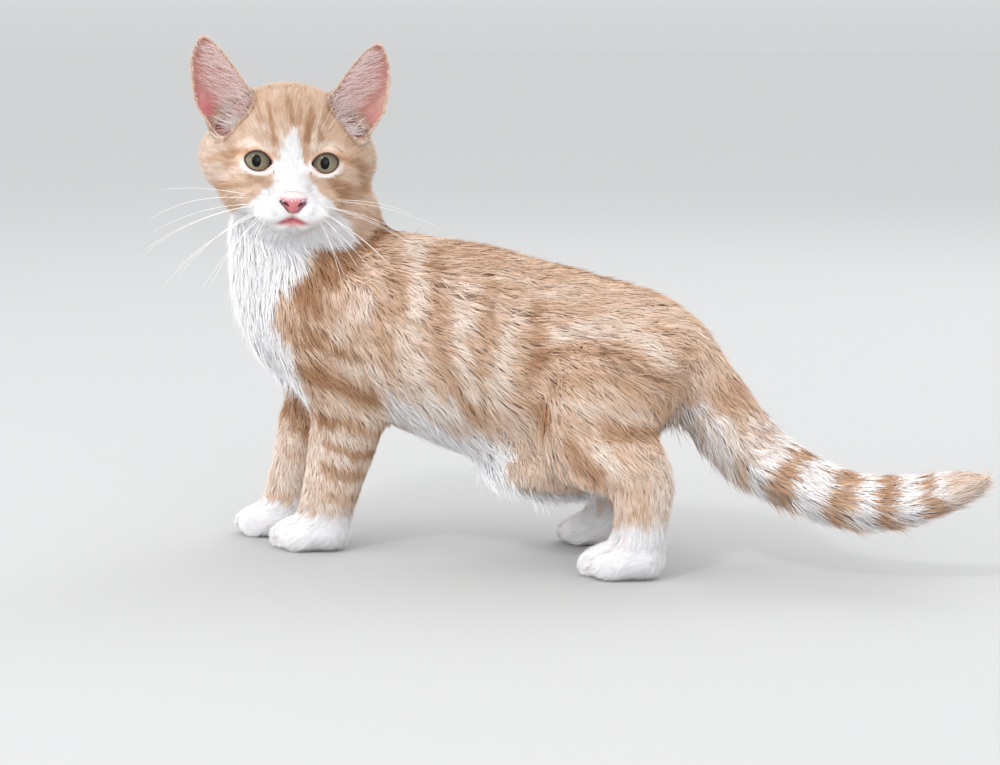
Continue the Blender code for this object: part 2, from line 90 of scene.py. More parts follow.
# the roots of the whiskers of one side in u and v, their way out, their length and how far they droop
WHISKERS = [
    ((13.0, -15.2), (1, 0.14, -0.20), 42, 8),
    ((16.0, -15.4), (1, 0.02, -0.30), 48, 12),
    ((11.5, -17.6), (1, -0.02, -0.10), 44, 10),
    ((14.2, -18.0), (1, -0.14, -0.20), 50, 12),
    ((16.2, -18.4), (1, -0.26, -0.30), 46, 11),
    ((11.6, -20.2), (0.9, -0.36, -0.05), 42, 9),
    ((14.0, -20.6), (0.85, -0.46, -0.15), 46, 9),
    ((15.8, -21.0), (0.8, -0.56, -0.25), 40, 8),
    ((12.4, -22.6), (0.7, -0.66, -0.05), 34, 6),
    ((14.2, -23.0), (0.62, -0.8, -0.10), 32, 5),
    ((11.0, -23.6), (0.5, -0.9, 0.00), 26, 4),
    ((12.8, -24.4), (0.42, -1, 0.00), 22, 3),
    ((10.0, 10.5), (0.55, 1, 0.10), 17, -3),
    ((12.5, 10.8), (0.75, 1, 0.05), 20, -3),
    ((8.5, 9.4), (0.3, 1, 0.15), 14, -2),
]

# how the surface is made: how far the solids are swelled to bridge their cuts, the voxels of the skin and of
# the coat's outer surface, the share of faces kept, how deep a root sits and the size of a tuft's patch
BRIDGE = 0.3
FINE_VOXEL = 0.65
OUTER_VOXEL = 1.3
KEPT_FACES = 0.28
ROOT_DEPTH = 0.4
PATCH = 0.003

# the middle line of the tail, from its root to its tip
TAIL = [
    (30, 3, 94), (40, 2.5, 83), (53, 1.5, 67.5), (68, -2, 51.5), (84, -6, 42), (99, -8, 36),
    (115, -9, 32.4), (131, -9.5, 33.2), (146, -9.5, 36.6), (158, -9.5, 40.4), (166, -9.5, 43),
]

# how the coat lies: place on the left side or the middle, lie, length, depth and how far it clings
COMB = [
    ((-158, -4, 118), (0.15, -0.1, -1), 12, 4.0, 0.8),
    ((-157, -4, 100), (0.2, -0.1, -1), 13, 4.5, 0.6),
    ((-148, -6, 80), (0.35, -0.1, -1), 12, 4.5, 0.5),
    ((-140, -28, 118), (0.25, 0, -1), 12, 4.0, 0.9),
    ((-118, -33, 126), (0.35, 0, -0.95), 11, 3.5, 1),
    ((-118, 30, 126), (0.35, 0, -0.95), 11, 3.5, 1),
    ((-90, -20, 142), (0.8, 0, -0.6), 11, 3.5, 1),
    ((-88, 8, 148), (0.85, 0, -0.5), 11, 3.5, 1),
    ((-64, 0, 137), (1, 0, -0.1), 11, 3.5, 1),
    ((-120, -30, 100), (0.35, 0, -0.95), 11, 3.5, 1),
    ((-98, -34, 106), (0.62, 0, -0.8), 11, 3.5, 1),
    ((-104, -34, 82), (0.72, 0, -0.7), 10, 3.5, 1),
    ((-88, -30, 64), (0.75, 0, -0.66), 10, 3.5, 0.9),
    ((-74, -33, 90), (0.72, 0, -0.66), 12, 4.5, 1),
    ((-56, -34, 100), (0.9, 0, -0.4), 11, 4.0, 1),
    ((-20, 0, 131), (1, 0, -0.12), 10, 3.0, 1),
    ((-24, -32, 92), (0.93, 0, -0.36), 12, 4.0, 1),
    ((-62, -26, 58), (0.6, 0, -0.8), 14, 5.0, 0.8),
    ((-40, -24, 50), (0.62, 0, -0.8), 15, 5.0, 0.6),
    ((-60, 0, 48), (0.7, 0, -0.7), 14, 5.0, 0.6),
    ((-36, 0, 40), (0.6, 0, -0.8), 15, 6.5, 0.3),
    ((-34, -16, 36), (0.4, 0, -0.92), 16, 6.5, 0.25),
    ((-20, -18, 32), (0.35, 0, -0.94), 16, 7.5, 0.15),
    ((-14, 0, 26), (0.35, 0, -0.94), 15, 7.5, 0.15),
    ((0, -12, 27), (0.4, 0, -0.92), 15, 7.0, 0.2),
    ((22, 0, 118), (1, 0, -0.22), 11, 3.0, 1),
    ((6, -34, 92), (0.96, 0, -0.3), 12, 4.0, 1),
    ((30, -34, 86), (0.86, 0, -0.5), 12, 4.0, 1),
    ((20, -38, 66), (0.9, 0, -0.42), 11, 3.5, 1),
    ((-4, -36, 56), (0.7, 0, -0.7), 11, 4.0, 0.9),
    ((10, -38, 48), (0.75, 0, -0.66), 9, 3.0, 0.9),
    ((44, 0, 104), (0.8, 0, -0.6), 12, 3.5, 1),
    ((46, -22, 78), (0.5, 0, -0.86), 12, 4.5, 0.9),
    ((36, -32, 58), (0.3, 0, -0.95), 10, 3.5, 0.8),
]
COMB_REACH = 15.0

# the short fur of the legs and feet: the heights, counted downward, between which it takes over, its lie,
# length, depth and cling
LEG_COMB = {
    "fore": [(-66, -52, (0.2, 0, -0.97), 6.4, 2.3, 0.7), (-24, -14, (-0.75, 0, -0.5), 4.6, 1.5, 0.75)],
    "hind": [(-52, -36, (0.0, 0, -1.0), 7.5, 2.2, 0.7), (-24, -13, (-0.75, 0, -0.5), 4.8, 1.6, 0.75)],
}
PAWS = ("forepaw_left", "forepaw_right", "hindfoot_left", "hindfoot_right")

# the clefts between the toes: how far outward from the paw's middle, and how far back in shares of its length
TOE_CLEFTS = [(6.0, 0.62), (0.1, 0.36), (-5.8, 0.5)]
CLEFT = 1.4

# the fur of the head by its own axes, mirrored in u: place, length and depth
HEAD_COMB = [
    ((0, -8, 8), 2.4, 0.6),
    ((0, 2, 0), 3.2, 0.9),
    ((6, -20, 14), 2.6, 0.7),
    ((14, -17, 4), 4.0, 1.2),
    ((0, -30, 6), 4.0, 1.4),
    ((10, 11, 0), 4.4, 1.2),
    ((0, 24, -6), 5.2, 1.4),
    ((18, 26, -14), 5.5, 1.6),
    ((0, 33, -26), 6.5, 2.0),
    ((22, -6, -2), 5.0, 1.4),
    ((30, -4, -12), 6.5, 1.8),
    ((26, -20, -8), 8.0, 2.4),
    ((12, -32, -4), 7.5, 2.4),
    ((36, 4, -26), 7.5, 1.8),
    ((0, 10, -50), 7.5, 1.7),
    ((25, -10, -45), 8.0, 1.9),
]
HEAD_REACH = 8.0

# the length and depth of the fur of the ears
EAR_FUR = (2.8, 0.3)

# stripes of the left side, mirrored to the right: half width, strength (below 0 is paler), places in x and z
STRIPES = [
    # the first, wide band on the neck is partly a stripe and partly painted shade under the head
    (9.0, 0.66, [(-95, 135), (-103, 124), (-110, 113)]),
    (4.5, 0.36, [(-114, 113), (-106, 115), (-99, 121)]),
    (4.0, 0.24, [(-79, 108), (-78, 94), (-77, 70)]),
    (4.0, 0.20, [(-78, 126), (-74, 112), (-72, 104)]),
    (4.0, 0.28, [(-64, 127), (-58, 111), (-55, 99), (-52, 89), (-48, 75), (-43, 64)]),
    (3.6, 0.24, [(-39, 113), (-35, 99), (-37, 87), (-38, 74)]),
    (3.6, 0.28, [(-16, 106), (-13, 92), (-17, 80), (-18, 72), (-10, 62)]),
    (1.7, 0.50, [(-120, 98), (-112, 97), (-104, 93)]),
    (1.9, 0.55, [(-117, 91), (-109, 91), (-100, 88), (-90, 85)]),
    (3.8, 0.56, [(-118, 80), (-107, 77), (-96, 71), (-88, 67)]),
    (2.5, 0.62, [(-110, 58), (-98, 56), (-84, 51)]),
    (2.0, 0.66, [(-107, 47), (-96, 43), (-82, 44)]),
    (2.4, 0.62, [(-108, 37), (-98, 33), (-84, 33)]),
    (2.2, 0.36, [(-108, 25), (-95, 22)]),
    (3.2, 0.28, [(-18, 86), (-1, 92), (19, 92), (31, 86), (40, 77)]),
    (3.0, 0.22, [(-6, 78), (13, 84), (29, 78), (38, 68)]),
    (4.0, 0.30, [(-12, 67), (-10, 57)]),
    (3.6, 0.44, [(3, 54), (8, 45), (14, 41)]),
    (3.6, 0.40, [(16, 62), (25, 61), (34, 60)]),
    (3.5, -0.22, [(-99, 98), (-86, 107)]),
    (4.0, -0.26, [(-96, 84), (-84, 80)]),
    (4.0, -0.44, [(-73, 132), (-67, 122), (-63, 108)]),
    (6.0, -0.30, [(-70, 99), (-69, 84), (-65, 67)]),
    (4.0, -0.36, [(-45, 112), (-46, 99), (-46, 85), (-42, 73)]),
    (4.0, -0.36, [(-24, 103), (-28, 92), (-31, 81), (-30, 69)]),
    (3.5, -0.30, [(-8, 97), (7, 99), (23, 98), (37, 88)]),
    (3.0, -0.24, [(-5, 69), (14, 69), (30, 66)]),
    (3.0, -0.34, [(14, 53), (22, 45)]),
    (4.5, -0.40, [(45, 60), (43, 42), (40, 24)]),
]

# bands of the right foreleg, which the photo shows between the legs
FAR_BANDS = [
    (4.8, 0.60, [(-143, 58), (-133, 55), (-122, 46)]),
    (3.0, 0.44, [(-148, 73), (-136, 70)]),
    (2.0, 0.34, [(-134, 38), (-125, 36)]),
    (3.0, 0.36, [(-143, 16), (-132, 18)]),
]

# the rings of the tail: how far along it and half width
TAIL_RINGS = [(62, 5.0), (81, 4.5), (104, 5.0), (123, 4.6), (138, 3.6)]

# marks of the face in its own u and v: half width, strength and places
FACE_MARKS = [
    (2.2, 0.34, [(-29, -11.5), (-22.5, -8.2), (-14, -6.8)]),
    (1.6, 0.36, [(-19, 4.2), (-26, 2.6), (-33, 0)]),
    (1.5, 0.40, [(-9.8, 23), (-8.6, 15), (-7.4, 8)]),
    (1.5, 0.24, [(-16, 25), (-13, 17)]),
    (3.0, 0.38, [(17, -8.5), (23, -10.8), (29, -12)]),
    (2.0, 0.26, [(29, -3), (31, -8)]),
    (1.6, 0.36, [(19.4, 2.8), (27.9, 0.9), (32, -2)]),
    (1.6, 0.40, [(7.8, 22), (6.8, 15), (5.9, 9.5)]),
    (1.2, 0.28, [(11, 15), (12.2, 10)]),
    (1.5, 0.22, [(15, 25), (13.5, 17)]),
    (1.3, 0.30, [(-2, 27), (0, 15)]),
    (1.0, 0.24, [(3.2, 25), (2.6, 17)]),
    (1.3, -0.36, [(-4.8, 13), (-4.6, 7)]),
    (1.3, -0.36, [(9, 11.5), (8.6, 7)]),
    (1.7, -0.30, [(-21, 6.5), (-14, 7.8), (-9, 6.2)]),
    (1.7, -0.30, [(9, 6.4), (14, 7.8), (21, 6.2)]),
    (3.5, -0.24, [(-33, -3), (-31, 8)]),
    (3.2, -0.32, [(-31, -6), (-22, -4.5)]),
]

# where white begins: the front edge of the ginger on the neck and breast, as x for each z
BIB_EDGE = [(58, -116), (67, -116), (78, -117), (84, -118), (93, -122), (99, -127), (107, -124), (115, -121),
            (125, -118), (133, -109), (145, -104)]
BELLY_LINE = [(-100, 60), (-82, 56), (-56, 45), (-43, 41), (-33, 36), (-25, 32), (-8, 30), (9, 34), (30, 42)]
BLAZE = [(-60, 40), (-24, 25), (-13, 13), (-8, 7.2), (0, 6.0), (8, 3.2), (14, 0.6), (16, -2), (60, -9)]

# the rows that the whiskers of one side grow from, bare of fur, in u and v
PAD_ROWS = [[(8.5, -17.4), (16, -15.2)], [(7.5, -19.3), (16.5, -17.2)], [(8, -21.2), (16.5, -19.4)]]

# the coat of each kind of node: width of a tuft, rings before its tip, how many layers deep
FUR = {
    "head": (0.27, 1, 3.4),
    "ear": (0.22, 1, 2.6),
    "neck": (0.38, 2, 3.2),
    "chest": (0.38, 2, 3.2),
    "belly": (0.38, 2, 3.2),
    "rump": (0.38, 2, 3.2),
    "thigh": (0.36, 2, 3.2),
    "foreleg": (0.32, 2, 2.8),
    "forepaw": (0.26, 1, 3.2),
    "hindfoot": (0.28, 1, 3.4),
    "tail": (0.40, 2, 3.2),
}

# how many tufts lie together in a lock, how far its heading and rise may differ, and how far its tips close
LOCK = 6
LOCK_SWING = 0.2
LOCK_RISE = 0.1
LOCK_PULL = (0.1, 0.48)

# how the tufts differ: the share of loose ones and their rise, how far each swings, how far all sway from
# place to place, their lengths and widths in shares of the usual, and how deep their tips end in shares of
# the coat's depth
LOOSE = 0.05
LOOSE_RISE = (0.05, 0.22)
TUFT_SWING = 0.12
TUFT_SWAY = 0.16
TUFT_LENGTHS = (0.7, 1.2)
TUFT_WIDTHS = (0.7, 1.25)
TUFT_DROOP = 0.7

# where a tuft bends: how high in shares of the coat's depth, and how far along in shares of its length
BEND_HIGH = 0.85
BEND_ALONG = 0.3

# the cross section of a tuft: two corners on the body and a ridge, and how it narrows from ring to ring
TUFT_CORNERS = ((-0.5, 0.0), (0.5, 0.0), (0.0, 0.4))
TUFT_TAPER = (1.0, 0.95, 0.7)

# how far the shading across a tuft leans to its sides, where 0 shades it like the body under it
SHEEN = 0.9

# how much darker the fur of the face is painted, as painted shade, and how many hairs stand along each rim of
# an ear
FACE_SHADE = 0.32
FRINGE_HAIRS = 150


def head_frame():
    """The matrix from the head's own axes to the kitten's, in millimetres."""
    heading = math.radians(180 + HEAD_TURN)
    raised = math.radians(HEAD_RAISE)
    ahead = math.cos(raised)
    forward = Vector((ahead * math.cos(heading), ahead * math.sin(heading), math.sin(raised)))
    level = Vector((-math.sin(heading), math.cos(heading), 0))
    upright = forward.cross(level)
    roll = math.radians(HEAD_ROLL)
    across = level * math.cos(roll) - upright * math.sin(roll)
    up = upright * math.cos(roll) + level * math.sin(roll)
    corners = [corner for name in EYE_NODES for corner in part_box(name)]
    between = sum(corners, Vector()) / len(corners) / MM
    turned = Matrix((across, up, forward)).transposed().to_4x4()
    return Matrix.Translation(between - forward * EYE_BACK) @ turned


HEAD = head_frame()
HEAD_TURNED = np.array(HEAD.to_3x3())
HEAD_AT = np.array(HEAD.translation)


def to_head(points):
    """Points of the kitten in the head's own axes."""
    return (points - HEAD_AT) @ HEAD_TURNED


def from_head(points):
    """Points in the head's own axes as points of the kitten."""
    return np.asarray(points, float) @ HEAD_TURNED.T + HEAD_AT


def nearer_eye(local):
    """The middle of the nearer eye to each point of the head, in the head's axes."""
    return np.sign(local[:, :1]) * (EYE_SPACING / 2, 0, 0) + (0, 0, EYE_BACK)


def unit(vectors):
    """The vectors, each one long."""
    return vectors / np.maximum(np.linalg.norm(vectors, axis=-1, keepdims=True), 1e-9)


def toward(first, second, share):
    """Values that go from the first to the second as the share goes from 0 to 1."""
    if np.ndim(first) > np.ndim(share):
        share = share[:, None]
    return first * (1 - share) + second * share


def ramp(values, low, high):
    """A smooth rise from 0 at low to 1 at high."""
    share = np.clip((values - low) / (high - low), 0, 1)
    return share * share * (3 - 2 * share)


def ripple(points, size, seed, waves=9):
    """Smooth noise from -1 to 1 whose blotches are about so many millimetres across."""
    rng = np.random.default_rng(seed)
    total = np.zeros(len(points))
    for _ in range(waves):
        heading = unit(rng.normal(size=3)) * math.pi / size * rng.uniform(0.7, 1.5)
        total += np.sin(points @ heading + rng.uniform(0, 2 * math.pi))
    return total / math.sqrt(waves)


def blended(points, places, values, reach):
    """The values at the places, blended by how near each place is to each point."""
    found = np.zeros((len(points), values.shape[1]))
    total = np.full((len(points), 1), 1e-12)
    for place, value in zip(places, values):
        away = np.sum((points - place) ** 2, axis=1, keepdims=True)
        share = np.exp(-away / (2 * reach**2)) + 1e-9
        found += share * value
        total += share
    return found / total


def along_path(points, path):
    """For each point, how far along the path its nearest place is, its distance, and the path's way there."""
    path = np.asarray(path, float)
    starts, runs = path[:-1], np.diff(path, axis=0)
    lengths = np.linalg.norm(runs, axis=1)
    before = np.concatenate(([0], np.cumsum(lengths)[:-1]))
    nearest = np.full(len(points), np.inf)
    reached = np.zeros(len(points))
    way = np.zeros((len(points), path.shape[1]))
    for start, run, length, passed in zip(starts, runs, lengths, before):
        share = np.clip((points - start) @ run / length**2, 0, 1)
        away = np.linalg.norm(points - start - share[:, None] * run, axis=1)
        closer = away < nearest
        nearest = np.where(closer, away, nearest)
        reached = np.where(closer, passed + share * length, reached)
        way[closer] = run / length
    return reached, nearest, way


def mesh_object(name, points, faces, smooth=True):
    """A mesh object from points in millimetres and triangles."""
    mesh = bpy.data.meshes.new(name)
    faces = np.asarray(faces, np.int32)
    mesh.vertices.add(len(points))
    mesh.vertices.foreach_set("co", (np.asarray(points) * MM).astype(np.float32).ravel())
    mesh.loops.add(faces.size)
    mesh.loops.foreach_set("vertex_index", faces.ravel())
    mesh.polygons.add(len(faces))
    mesh.polygons.foreach_set("loop_start", np.arange(0, faces.size, faces.shape[1], dtype=np.int32))
    mesh.update(calc_edges=True)
    if smooth:
        mesh.shade_smooth()
    made = bpy.data.objects.new(name, mesh)
    bpy.context.scene.collection.objects.link(made)
    return made


def settle(made, slot, material, *nodes):
    """The finished piece with its material, its body and the nodes it stands for; its slot argument is not
    used.
    """
    made.data.materials.clear()
    made.data.materials.append(material)
    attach(made, "root")
    if nodes:
        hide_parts(*nodes)
    return made


def read_mesh(mesh):
    """The points, normals and triangles of a mesh, in millimetres."""
    mesh.calc_loop_triangles()
    points = np.empty(len(mesh.vertices) * 3, np.float32)
    mesh.vertices.foreach_get("co", points)
    normals = np.empty(len(mesh.vertices) * 3, np.float32)
    mesh.vertex_normals.foreach_get("vector", normals)
    triangles = np.empty(len(mesh.loop_triangles) * 3, np.int32)
    mesh.loop_triangles.foreach_get("vertices", triangles)
    points = points.reshape(-1, 3).astype(float) / MM
    return points, normals.reshape(-1, 3).astype(float), triangles.reshape(-1, 3)


def evaluated(made):
    """A new mesh of the object with its modifiers, with the object removed."""
    bpy.context.view_layer.update()
    mesh = bpy.data.meshes.new_from_object(made.evaluated_get(bpy.context.evaluated_depsgraph_get()))
    bpy.data.objects.remove(made)
    return mesh


def flesh_shells():
    """All the solids of flesh, each swelled enough to bridge the gaps between them."""
    whole = bmesh.new()
    scratch = bpy.data.meshes.new("scratch")
    for name in FLESH:
        shell = bmesh.new()
        shell.from_mesh(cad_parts[name].data)
        bmesh.ops.remove_doubles(shell, verts=shell.verts, dist=0.002 * MM)
        shell.normal_update()
        for vert in shell.verts:
            vert.co += vert.normal * BRIDGE * MM
        shell.to_mesh(scratch)
        whole.from_mesh(scratch)
        shell.free()
    bpy.data.meshes.remove(scratch)
    return whole


def bridged(shells, voxel, smoothing):
    """The shells as one closed surface: its points, normals and triangles."""
    mesh = bpy.data.meshes.new("bridged")
    shells.to_mesh(mesh)
    made = bpy.data.objects.new("bridged", mesh)
    bpy.context.scene.collection.objects.link(made)
    remesh = made.modifiers.new("Remesh", "REMESH")
    remesh.mode = "VOXEL"
    remesh.voxel_size = voxel * MM
    smooth = made.modifiers.new("Smooth", "SMOOTH")
    smooth.factor = 0.5
    smooth.iterations = smoothing
    mesh = evaluated(made)
    arrays = read_mesh(mesh)
    bpy.data.meshes.remove(mesh)
    return arrays


def node_lookup():
    """A tree over the solids of flesh, and for each of its faces the place of its node in the list."""
    points, faces, owners = [], [], []
    for index, name in enumerate(FLESH):
        node_points, _, triangles = read_mesh(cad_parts[name].data)
        faces += (triangles + len(points)).tolist()
        points += node_points.tolist()
        owners += [index] * len(triangles)
    return BVHTree.FromPolygons(points, faces), owners


def nodes_of(points):
    """The nearest node of flesh to each point, as its place in the list."""
    tree, owners = node_lookup()
    return np.array([owners[tree.find_nearest(point)[2]] for point in points.tolist()])


def regions(owners, *kinds):
    """True where the owner is a node of one of the kinds."""
    wanted = [index for index, name in enumerate(FLESH) if name.startswith(kinds)]
    return np.isin(owners, wanted)


def eye_gap(local):
    """How far a point of the head is outside the nearer lid opening, in shares of the opening's size."""
    u, v = np.abs(local[:, 0]) - EYE_SPACING / 2, local[:, 1]
    lean = math.radians(LID_LEAN)
    p = (u * math.cos(lean) + v * math.sin(lean)) / LID_WIDE
    q = (-u * math.sin(lean) + v * math.cos(lean)) / LID_HIGH
    inner = np.where(p < 0, 0.2, 0.06) * np.abs(p) / np.maximum(np.hypot(p, q), 1e-6)
    gap = np.hypot(p, q) / (1 + inner**1.5) - 1
    return np.where(local[:, 2] > -16, gap, 9)


def mouth_gap(local):
    """How far a point of the head is from the line of the mouth, in millimetres."""
    path = MOUTH + [(-u, v) for u, v in MOUTH[-2::-1]]
    away = along_path(local[:, :2], path)[1]
    return np.where(local[:, 2] > 0, away, 99)


def coat_rows(points, owners):
    """The lie, length, depth and cling of the coat at points of the kitten."""
    places, values = [], []
    for (x, y, z), lie, length, depth, cling in COMB:
        for side in {1, -1 if y else 1}:
            places.append((x, y * side, z))
            values.append((lie[0], lie[1] * side, lie[2], length, depth, cling))
    found = blended(points, np.array(places, float), np.array(values, float), COMB_REACH)
    rows = found[:, :3], found[:, 3], found[:, 4], found[:, 5]
    legs = {
        "fore": regions(owners, "fore", "chest") & (points[:, 0] < -80),
        "hind": regions(owners, "hind", "thigh", "rump"),
    }
    for kind, bands in LEG_COMB.items():
        for low, high, way, *others in bands:
            share = legs[kind] * ramp(-points[:, 2], low, high)
            rows = [toward(row, own, share) for row, own in zip(rows, (np.array(way), *others))]
    share, *tail = tail_rows(points, owners)
    rows = [toward(row, own, share) for row, own in zip(rows, tail)]
    head = regions(owners, "head", "ear")
    lie, *rest = rows
    head_lie, *head_rest = head_rows(to_head(points), regions(owners, "ear"))
    lie = np.where(head[:, None], head_lie, lie)
    length, depth, cling = (np.where(head, own, row) for row, own in zip(rest, head_rest))
    return unit(lie), length, depth, cling


def tail_rows(points, owners):
    """How much of the coat is the tail's at each point, and the tail's lie, length, depth and cling."""
    tail = regions(owners, "tail") | (points[:, 0] > 48)
    reached, _, way = along_path(points, TAIL)
    below = ramp(-tail_side(points), -0.2, 0.8)
    hang = way + np.array((0, 0, -0.55)) * (below * ramp(-reached, -150, -100))[:, None]
    cling = (0.75 - 0.55 * below) * (1 - ramp(reached, 150, 165))
    return tail * ramp(reached, 8, 30), hang, 11 + 4 * below, 2.6 + 2.2 * below, cling


def head_rows(local, ear):
    """The lie, length, depth and cling of the fur at points of the head, some of which are on an ear."""
    places = [(u * side, v, w) for (u, v, w), _, _ in HEAD_COMB for side in (1, -1)]
    values = [(length, depth) for _, length, depth in HEAD_COMB for side in (1, -1)]
    found = blended(local, np.array(places, float), np.array(values, float), HEAD_REACH)
    away_from_nose = local - np.array(NOSE_TIP)
    round_eye = unit(local - nearer_eye(local)) * (ramp(-eye_gap(local), -1.1, 0.1) * 1.4)[:, None]
    lie = unit(away_from_nose) + round_eye + np.array((0, -0.35, 0)) * ramp(-local[:, 1:2], -4, 12)
    lie = unit(lie) @ HEAD_TURNED.T
    near_eye = ramp(eye_gap(local), 0.05, 0.9)
    near_mouth = ramp(mouth_gap(local), 0.6, 5)
    near_nose = ramp(np.hypot(local[:, 0], local[:, 1] + 16.5), 5.5, 9.5)
    length = found[:, 0] * (0.35 + 0.65 * near_eye) * (0.35 + 0.65 * near_mouth)
    depth = found[:, 1] * near_eye * near_mouth * (0.2 + 0.8 * near_nose)
    ear_lie = (np.array((0, 1, -0.25)) + np.sign(local[:, :1]) * np.array((0.45, 0, 0))) @ HEAD_TURNED.T
    lie = np.where(ear[:, None], ear_lie, lie)
    length = np.where(ear, EAR_FUR[0], length)
    depth = np.where(ear, EAR_FUR[1], depth)
    cheek = ramp(np.abs(local[:, 0]), 20, 32) * ramp(-local[:, 1], -8, 6)
    return lie, length, depth, 1 - 0.45 * cheek


def toe_clefts(points):
    """How far into a cleft between two toes each point is."""
    share = np.zeros(len(points))
    x, y, _ = points.T
    for name in PAWS:
        low, high = np.array(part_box(name)) / MM
        middle = (low[1] + high[1]) / 2
        near = (x > low[0] - 1) & (x < high[0]) & (np.abs(y - middle) < 13) & (points[:, 2] < 20)
        forward = (x - low[0]) / (high[0] - low[0])
        outward = (y - middle) * np.sign(middle)
        for line, back in TOE_CLEFTS:
            share += near * np.exp(-(((outward - line) / 1.0) ** 2)) * ramp(-forward, -back, 0.22 - back)
    return np.clip(share, 0, 1)


def tail_side(points):
    """How far round the tail a point is: 1 on top, -1 underneath."""
    path = np.array(TAIL, float)
    level = np.interp(points[:, 0], path[:, 0], path[:, 2])
    return np.clip((points[:, 2] - level) / 12, -1, 1)


def stroked(places, strokes, wander):
    """The summed strength of soft-edged strokes over places in a plane."""
    total = np.zeros(len(places))
    for half, strength, path in strokes:
        away = along_path(places, path)[1] + wander * half
        total += strength * ramp(-away, -1.5 * half, -0.45 * half)
    return total


def markings(points, owners, normals):
    """Three shares at points of the kitten: ginger against white, stripe against cream, and bare skin."""
    blotch = ripple(points, 9, 3)
    fine = ripple(points, 3.5, 5)
    wander = 0.35 * ripple(points, 7, 7) + 0.2 * fine
    body = body_marks(points, owners, blotch, fine, wander)
    on_tail, *tail = tail_marks(points, owners, blotch, fine)
    body = [toward(share, own, on_tail) for share, own in zip(body, tail)]
    heads = regions(owners, "head", "ear")
    local = to_head(points)
    *face, bare = face_marks(local, blotch, fine, wander)
    ginger, stripe = (np.where(heads, own, share) for share, own in zip(body, face))
    bare = heads * np.maximum(bare, lip_share(local))
    bare = np.maximum(bare, heads * ear_cup(local, normals) * (0.85 + 0.1 * blotch))
    feet = regions(owners, "forepaw", "hindfoot")
    sole = ramp(-points[:, 2], -1.6, -0.6)
    bare = np.maximum(bare, feet * np.maximum(sole * 0.9, 0.5 * toe_clefts(points)))
    return np.clip(np.stack((ginger, stripe, bare), axis=1), 0, 1)


def body_marks(points, owners, blotch, fine, wander):
    """The shares of ginger and of stripe at points of the trunk and the legs."""
    x, y, z = points.T
    left = ramp(-y, -4, 4)
    stripe = 0.40 + 0.07 * blotch + 0.05 * fine + 0.10 * ramp(z, 112, 126) - 0.10 * ramp(-z, -75, -45)
    side = points[:, (0, 2)]
    stripe += stroked(side, STRIPES, wander) * left
    shifted = side + np.stack((4 * ripple(points, 40, 9) - 3, 2 * ripple(points, 40, 10)), axis=1)
    stripe += stroked(shifted, STRIPES, wander) * (1 - left) * ~((x < -105) & (z < 80))
    stripe += stroked(side, FAR_BANDS, wander) * (y > 0)
    edge = np.interp(z, *np.array(BIB_EDGE, float).T)
    ginger = ramp(x - edge + 2.5 * blotch + 1.5 * fine, -3, 3)
    ginger = np.where(z < 64, ramp(x - edge + 50, 0, 10), ginger)
    ginger = np.maximum(ginger, ramp(z + 3 * blotch, 108, 128) * ramp(y + 0.5 * (x + 130), 2, 14))
    stripe -= regions(owners, "foreleg") * (0.13 + 0.12 * (y > 0) * ramp(-z, -52, -40))
    trunk = regions(owners, "belly", "chest", "rump") * ramp(x, -86, -76)
    height = z - np.interp(x, *np.array(BELLY_LINE, float).T) + 4 * blotch + 2 * fine
    ginger = ginger * (1 - trunk * (0.45 * ramp(-height, -26, -10) + 0.55 * ramp(-height, -20, -7)))
    stripe -= 0.12 * trunk * ramp(-height, -30, -8)
    ginger = ginger * np.where(regions(owners, "foreleg", "forepaw"), ramp(z + 2 * fine, 14, 20), 1)
    hind = regions(owners, "hindfoot", "thigh") & (z < 50)
    return ginger * np.where(hind, ramp(z + 2 * fine - 0.15 * (x - 20), 17, 24), 1), stripe


def tail_marks(points, owners, blotch, fine):
    """How much of the marks is the tail's at each point, and its shares of ginger and of stripe."""
    reached = along_path(points, TAIL)[0]
    ring_shift = reached + 1.8 * blotch + 1.2 * fine
    rings = sum(ramp(-np.abs(ring_shift - at), -half * 1.35, -half * 0.6) for at, half in TAIL_RINGS)
    rings = np.clip(rings, 0, 1)
    top = ramp(tail_side(points) + 0.2 * blotch, -0.25, 0.7)
    along = ramp(reached, 40, 75)
    stripe = 0.40 + 0.22 * top * (1 - along) + 0.42 * rings * along - 0.15 * (1 - top) + 0.05 * fine
    ginger = np.maximum(rings * along, top * (1 - 0.85 * along)) + 0.04
    ginger = np.maximum(ginger, 0.5 * (1 - along))
    ginger = np.maximum(ginger, ramp(reached, 142, 150) * 0.85)
    return regions(owners, "tail") * ramp(reached, 12, 34), ginger, stripe


def face_marks(local, blotch, fine, wander):
    """The shares of ginger and of stripe at points of the head, and how bare its lids and muzzle are."""
    u, v, w = local.T
    stripe = 0.42 + 0.07 * blotch + 0.06 * fine + 0.07 * ramp(v, 12, 24)
    stripe += stroked(local[:, :2], FACE_MARKS, wander) * (w > -32)
    # painted shade: the lower back of the head on its left side is darker, as if in the head's own shadow
    stripe += 0.3 * ramp(-w, 12, 30) * ramp(-v, 2, 14) * (u > 0)
    gap = eye_gap(local)
    white_edge = np.interp(v, *np.array(BLAZE, float).T)
    ginger = ramp(np.abs(u) - white_edge + 0.9 * fine, -1.2, 1.2)
    ginger = np.where(w < -26, 1 - (1 - ginger) * ramp(w, -34, -26), ginger)
    under_eye = ramp(-v, -2.0, 1.5)
    ginger *= 1 - 0.8 * under_eye * ramp(-gap, -0.6, -0.3)
    stripe += 0.3 * (1 - under_eye) * ramp(-gap, -0.4, -0.12)
    lids = ramp(-gap, -0.22, -0.06) * (0.5 + 0.2 * under_eye)
    muzzle = ramp(-np.hypot(u, v + 10.5) + fine, -8, -3) * (w > 4) * 0.25
    return ginger, stripe, np.maximum(lids, muzzle)


